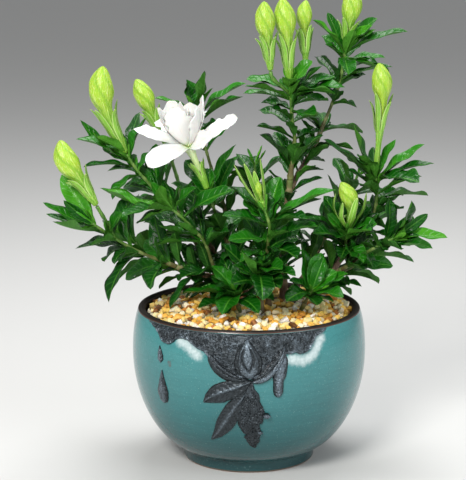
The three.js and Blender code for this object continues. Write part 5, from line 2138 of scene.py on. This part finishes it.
@dataclass
class Flower:
    """The open flower on its slender tube, over a ribbed calyx."""

    foot: Point = (-28, -24, 190.4)
    collar: Point = (-33, -25, 203)
    heart: Point = (-40, -27.5, 219.5)
    torn: float = 0.17
    whole: float = 0.03
    pointed: Profile = Profile((0, 0.30), (0.15, 0.44), (0.34, 0.78), (0.52, 0.98), (0.66, 1.0), (0.80, 0.80),
                               (0.92, 0.42), (1, 0))
    rounded: Profile = Profile((0, 0.30), (0.15, 0.42), (0.34, 0.74), (0.55, 0.97), (0.72, 1.0), (0.86, 0.86),
                               (0.95, 0.56), (0.985, 0.32), (1, 0))

    def petal(self, maker: Maker, form: PetalForm, phase: float) -> None:
        """Adds one petal, a thin trough with a rippled edge and a soft point.

        Args:
            maker: The flower.
            form: The petal.
            phase: What sets its ripples apart from the others'.
        """
        root, end = Vector(self.heart), Vector(form.tip)
        ahead = (end - root).normalized()
        axis = (root - Vector(self.collar)).normalized()
        up = (axis - ahead * axis.dot(ahead)).normalized()
        up = Matrix.Rotation(math.radians(form.roll), 3, ahead) @ up
        side = ahead.cross(up)
        length = (end - root).length
        knee = root.lerp(end, 0.5) + up * form.bow * length

        def place(u: float, v: float) -> Vector:
            """The petal's point.

            Args:
                u: The share along it.
                v: The share round it, over the top first.

            Returns:
                The point.
            """
            if u < CLOSED:
                return root.copy()
            top, s = lap(v)
            rib, along = bowed(root, knee, end, u)
            normal = side.cross(along)
            ragged = self.whole if form.blunt == 1 else self.torn
            waves = math.sin(u * 15 + phase * 7 + 2 * (s > 0))
            waves += 0.7 * math.sin(u * 37 + phase * 11 + 3 * (s > 0))
            lobes = 1 + ragged * waves * ease(0.45, 0.75, u)
            half = blend(self.pointed(u), self.rounded(u), form.blunt) * form.width / 2 * lobes
            cup = 0.30 * half * s * s
            ripple = 0.55 * math.sin(u * 9 + phase * 9 + s * 1.5) * abs(s) ** 2 * ease(0.25, 0.7, u)
            skin = 0.32 * (1 - 0.6 * abs(s)) * ease(1, 0.94, u)
            crease = -0.25 * hill(s, 0.18) * ease(0.1, 0.4, u)
            return rib + side * (s * half) + normal * (cup + ripple + crease + (skin if top else -skin))

        maker.sheet(26, 24, place, foot=lambda u, v: ease(0.22, 0.0, u))

    def tube(self, maker: Maker) -> None:
        """Adds the slender tube that opens into the petals.

        Args:
            maker: The flower.
        """
        route = Route((self.collar, self.heart))
        rows = [(route.station(k / 14), 1.9 + 2.5 * (k / 14) ** 3) for k in range(15)]
        maker.tube(rows, 20, foot=lambda u, v: 1 - 0.45 * u * u)

    def build(self) -> None:
        """Makes the petals, the tube and the calyx."""
        maker = Maker("foot")
        self.tube(maker)
        for k, form in enumerate((*OUTER_PETALS, *INNER_PETALS)):
            self.petal(maker, form, k * 0.37)
        maker.finish("gardenia_petals", WhitePetal().make(), Slot.PETAL, ["flower_petals"])
        buds, green = Buds(), Maker("lobe")
        route = Route((self.foot, self.collar, self.heart))
        buds.cup(green, route, (0, 0.36), 2.7)
        reach = Profile((0, 2.0), (0.5, 3.2), (1, 6.0))
        for k in range(buds.lobes):
            buds.lobe(green, route, (k + 0.3) / buds.lobes * TURN, (0.20, 0.66 + 0.06 * (k % 2)), reach, 3.1)
        green.finish("gardenia_calyx", CalyxSkin().make(), Slot.CALYX, ["flower_calyx"])


# ---------- studio
@dataclass
class Studio:
    """The pale floor, the soft lights and the camera."""

    middle: Point = (0, 0, 0.15)
    camera_spot: Point = (-0.011, -1.2, 0.392)
    pitch: float = 78.66
    lens: float = 134.5
    world: Colour = (0.80, 0.81, 0.82)
    world_strength: float = 0.42
    lights: tuple[tuple[str, Point, float, float, Colour], ...] = (
        ("key_light", (-0.45, -1.15, 0.98), 0.45, 21, (1.0, 0.98, 0.95)),
        ("fill_light", (1.0, -0.8, 0.7), 0.9, 6, (0.95, 0.98, 1.0)),
        ("top_light", (0.10, 0.35, 1.30), 0.7, 14, (1.0, 1.0, 1.0)),
    )

    def floor(self) -> None:
        """Lays the floor."""
        mesh = bmesh.new()
        bmesh.ops.create_circle(mesh, cap_ends=True, segments=96, radius=8.0)
        data = settled("studio_floor", mesh)
        data.materials.append(StudioPaper().make())
        piece = stand("studio_floor", data)

    def light(self, name: str, spot: Point, size: float, power: float, colour: Colour) -> None:
        """Hangs a soft square light that looks at the plant.

        Args:
            name: Its name.
            spot: Where it hangs, in metres.
            size: Its edge, in metres.
            power: Its power, in watts.
            colour: Its colour.
        """
        data = bpy.data.lights.new(name, "AREA")
        data.size, data.energy, data.color = size, power, colour
        lamp = stand(name, data)
        lamp.location = spot
        lamp.rotation_euler = (Vector(self.middle) - Vector(spot)).to_track_quat("-Z", "Y").to_euler()

    def camera(self) -> None:
        """Sets the camera at the photograph's angle."""
        data = bpy.data.cameras.new("camera")
        data.lens, data.sensor_width, data.clip_start = self.lens, 36, 0.01
        camera = stand("camera", data)
        camera.location = self.camera_spot
        camera.rotation_euler = (math.radians(self.pitch), 0, 0)
        bpy.context.scene.camera = camera

    def build(self) -> None:
        """Makes the whole studio."""
        self.floor()
        for light in self.lights:
            self.light(*light)
        world = bpy.data.worlds.new("studio_air")
        world.use_nodes = True
        background = world.node_tree.nodes["Background"]
        background.inputs["Color"].default_value = (*self.world, 1)
        background.inputs["Strength"].default_value = self.world_strength
        bpy.context.scene.world = world
        bpy.context.scene.view_settings.view_transform = "Standard"
        self.camera()


def main() -> None:
    """Builds the plant, the bowl and the studio."""
    logging.basicConfig(level=logging.INFO, format="%(name)s: %(message)s")
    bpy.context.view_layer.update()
    Studio().build()
    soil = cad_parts["soil"]
    soil.data.materials.clear()
    soil.data.materials.append(Earth().make())
    for assembly in (Bowl(), StoneBed(), Stems(), Sprays(), Buds(), Flower()):
        assembly.build()


if __name__ == "__main__":
    main()
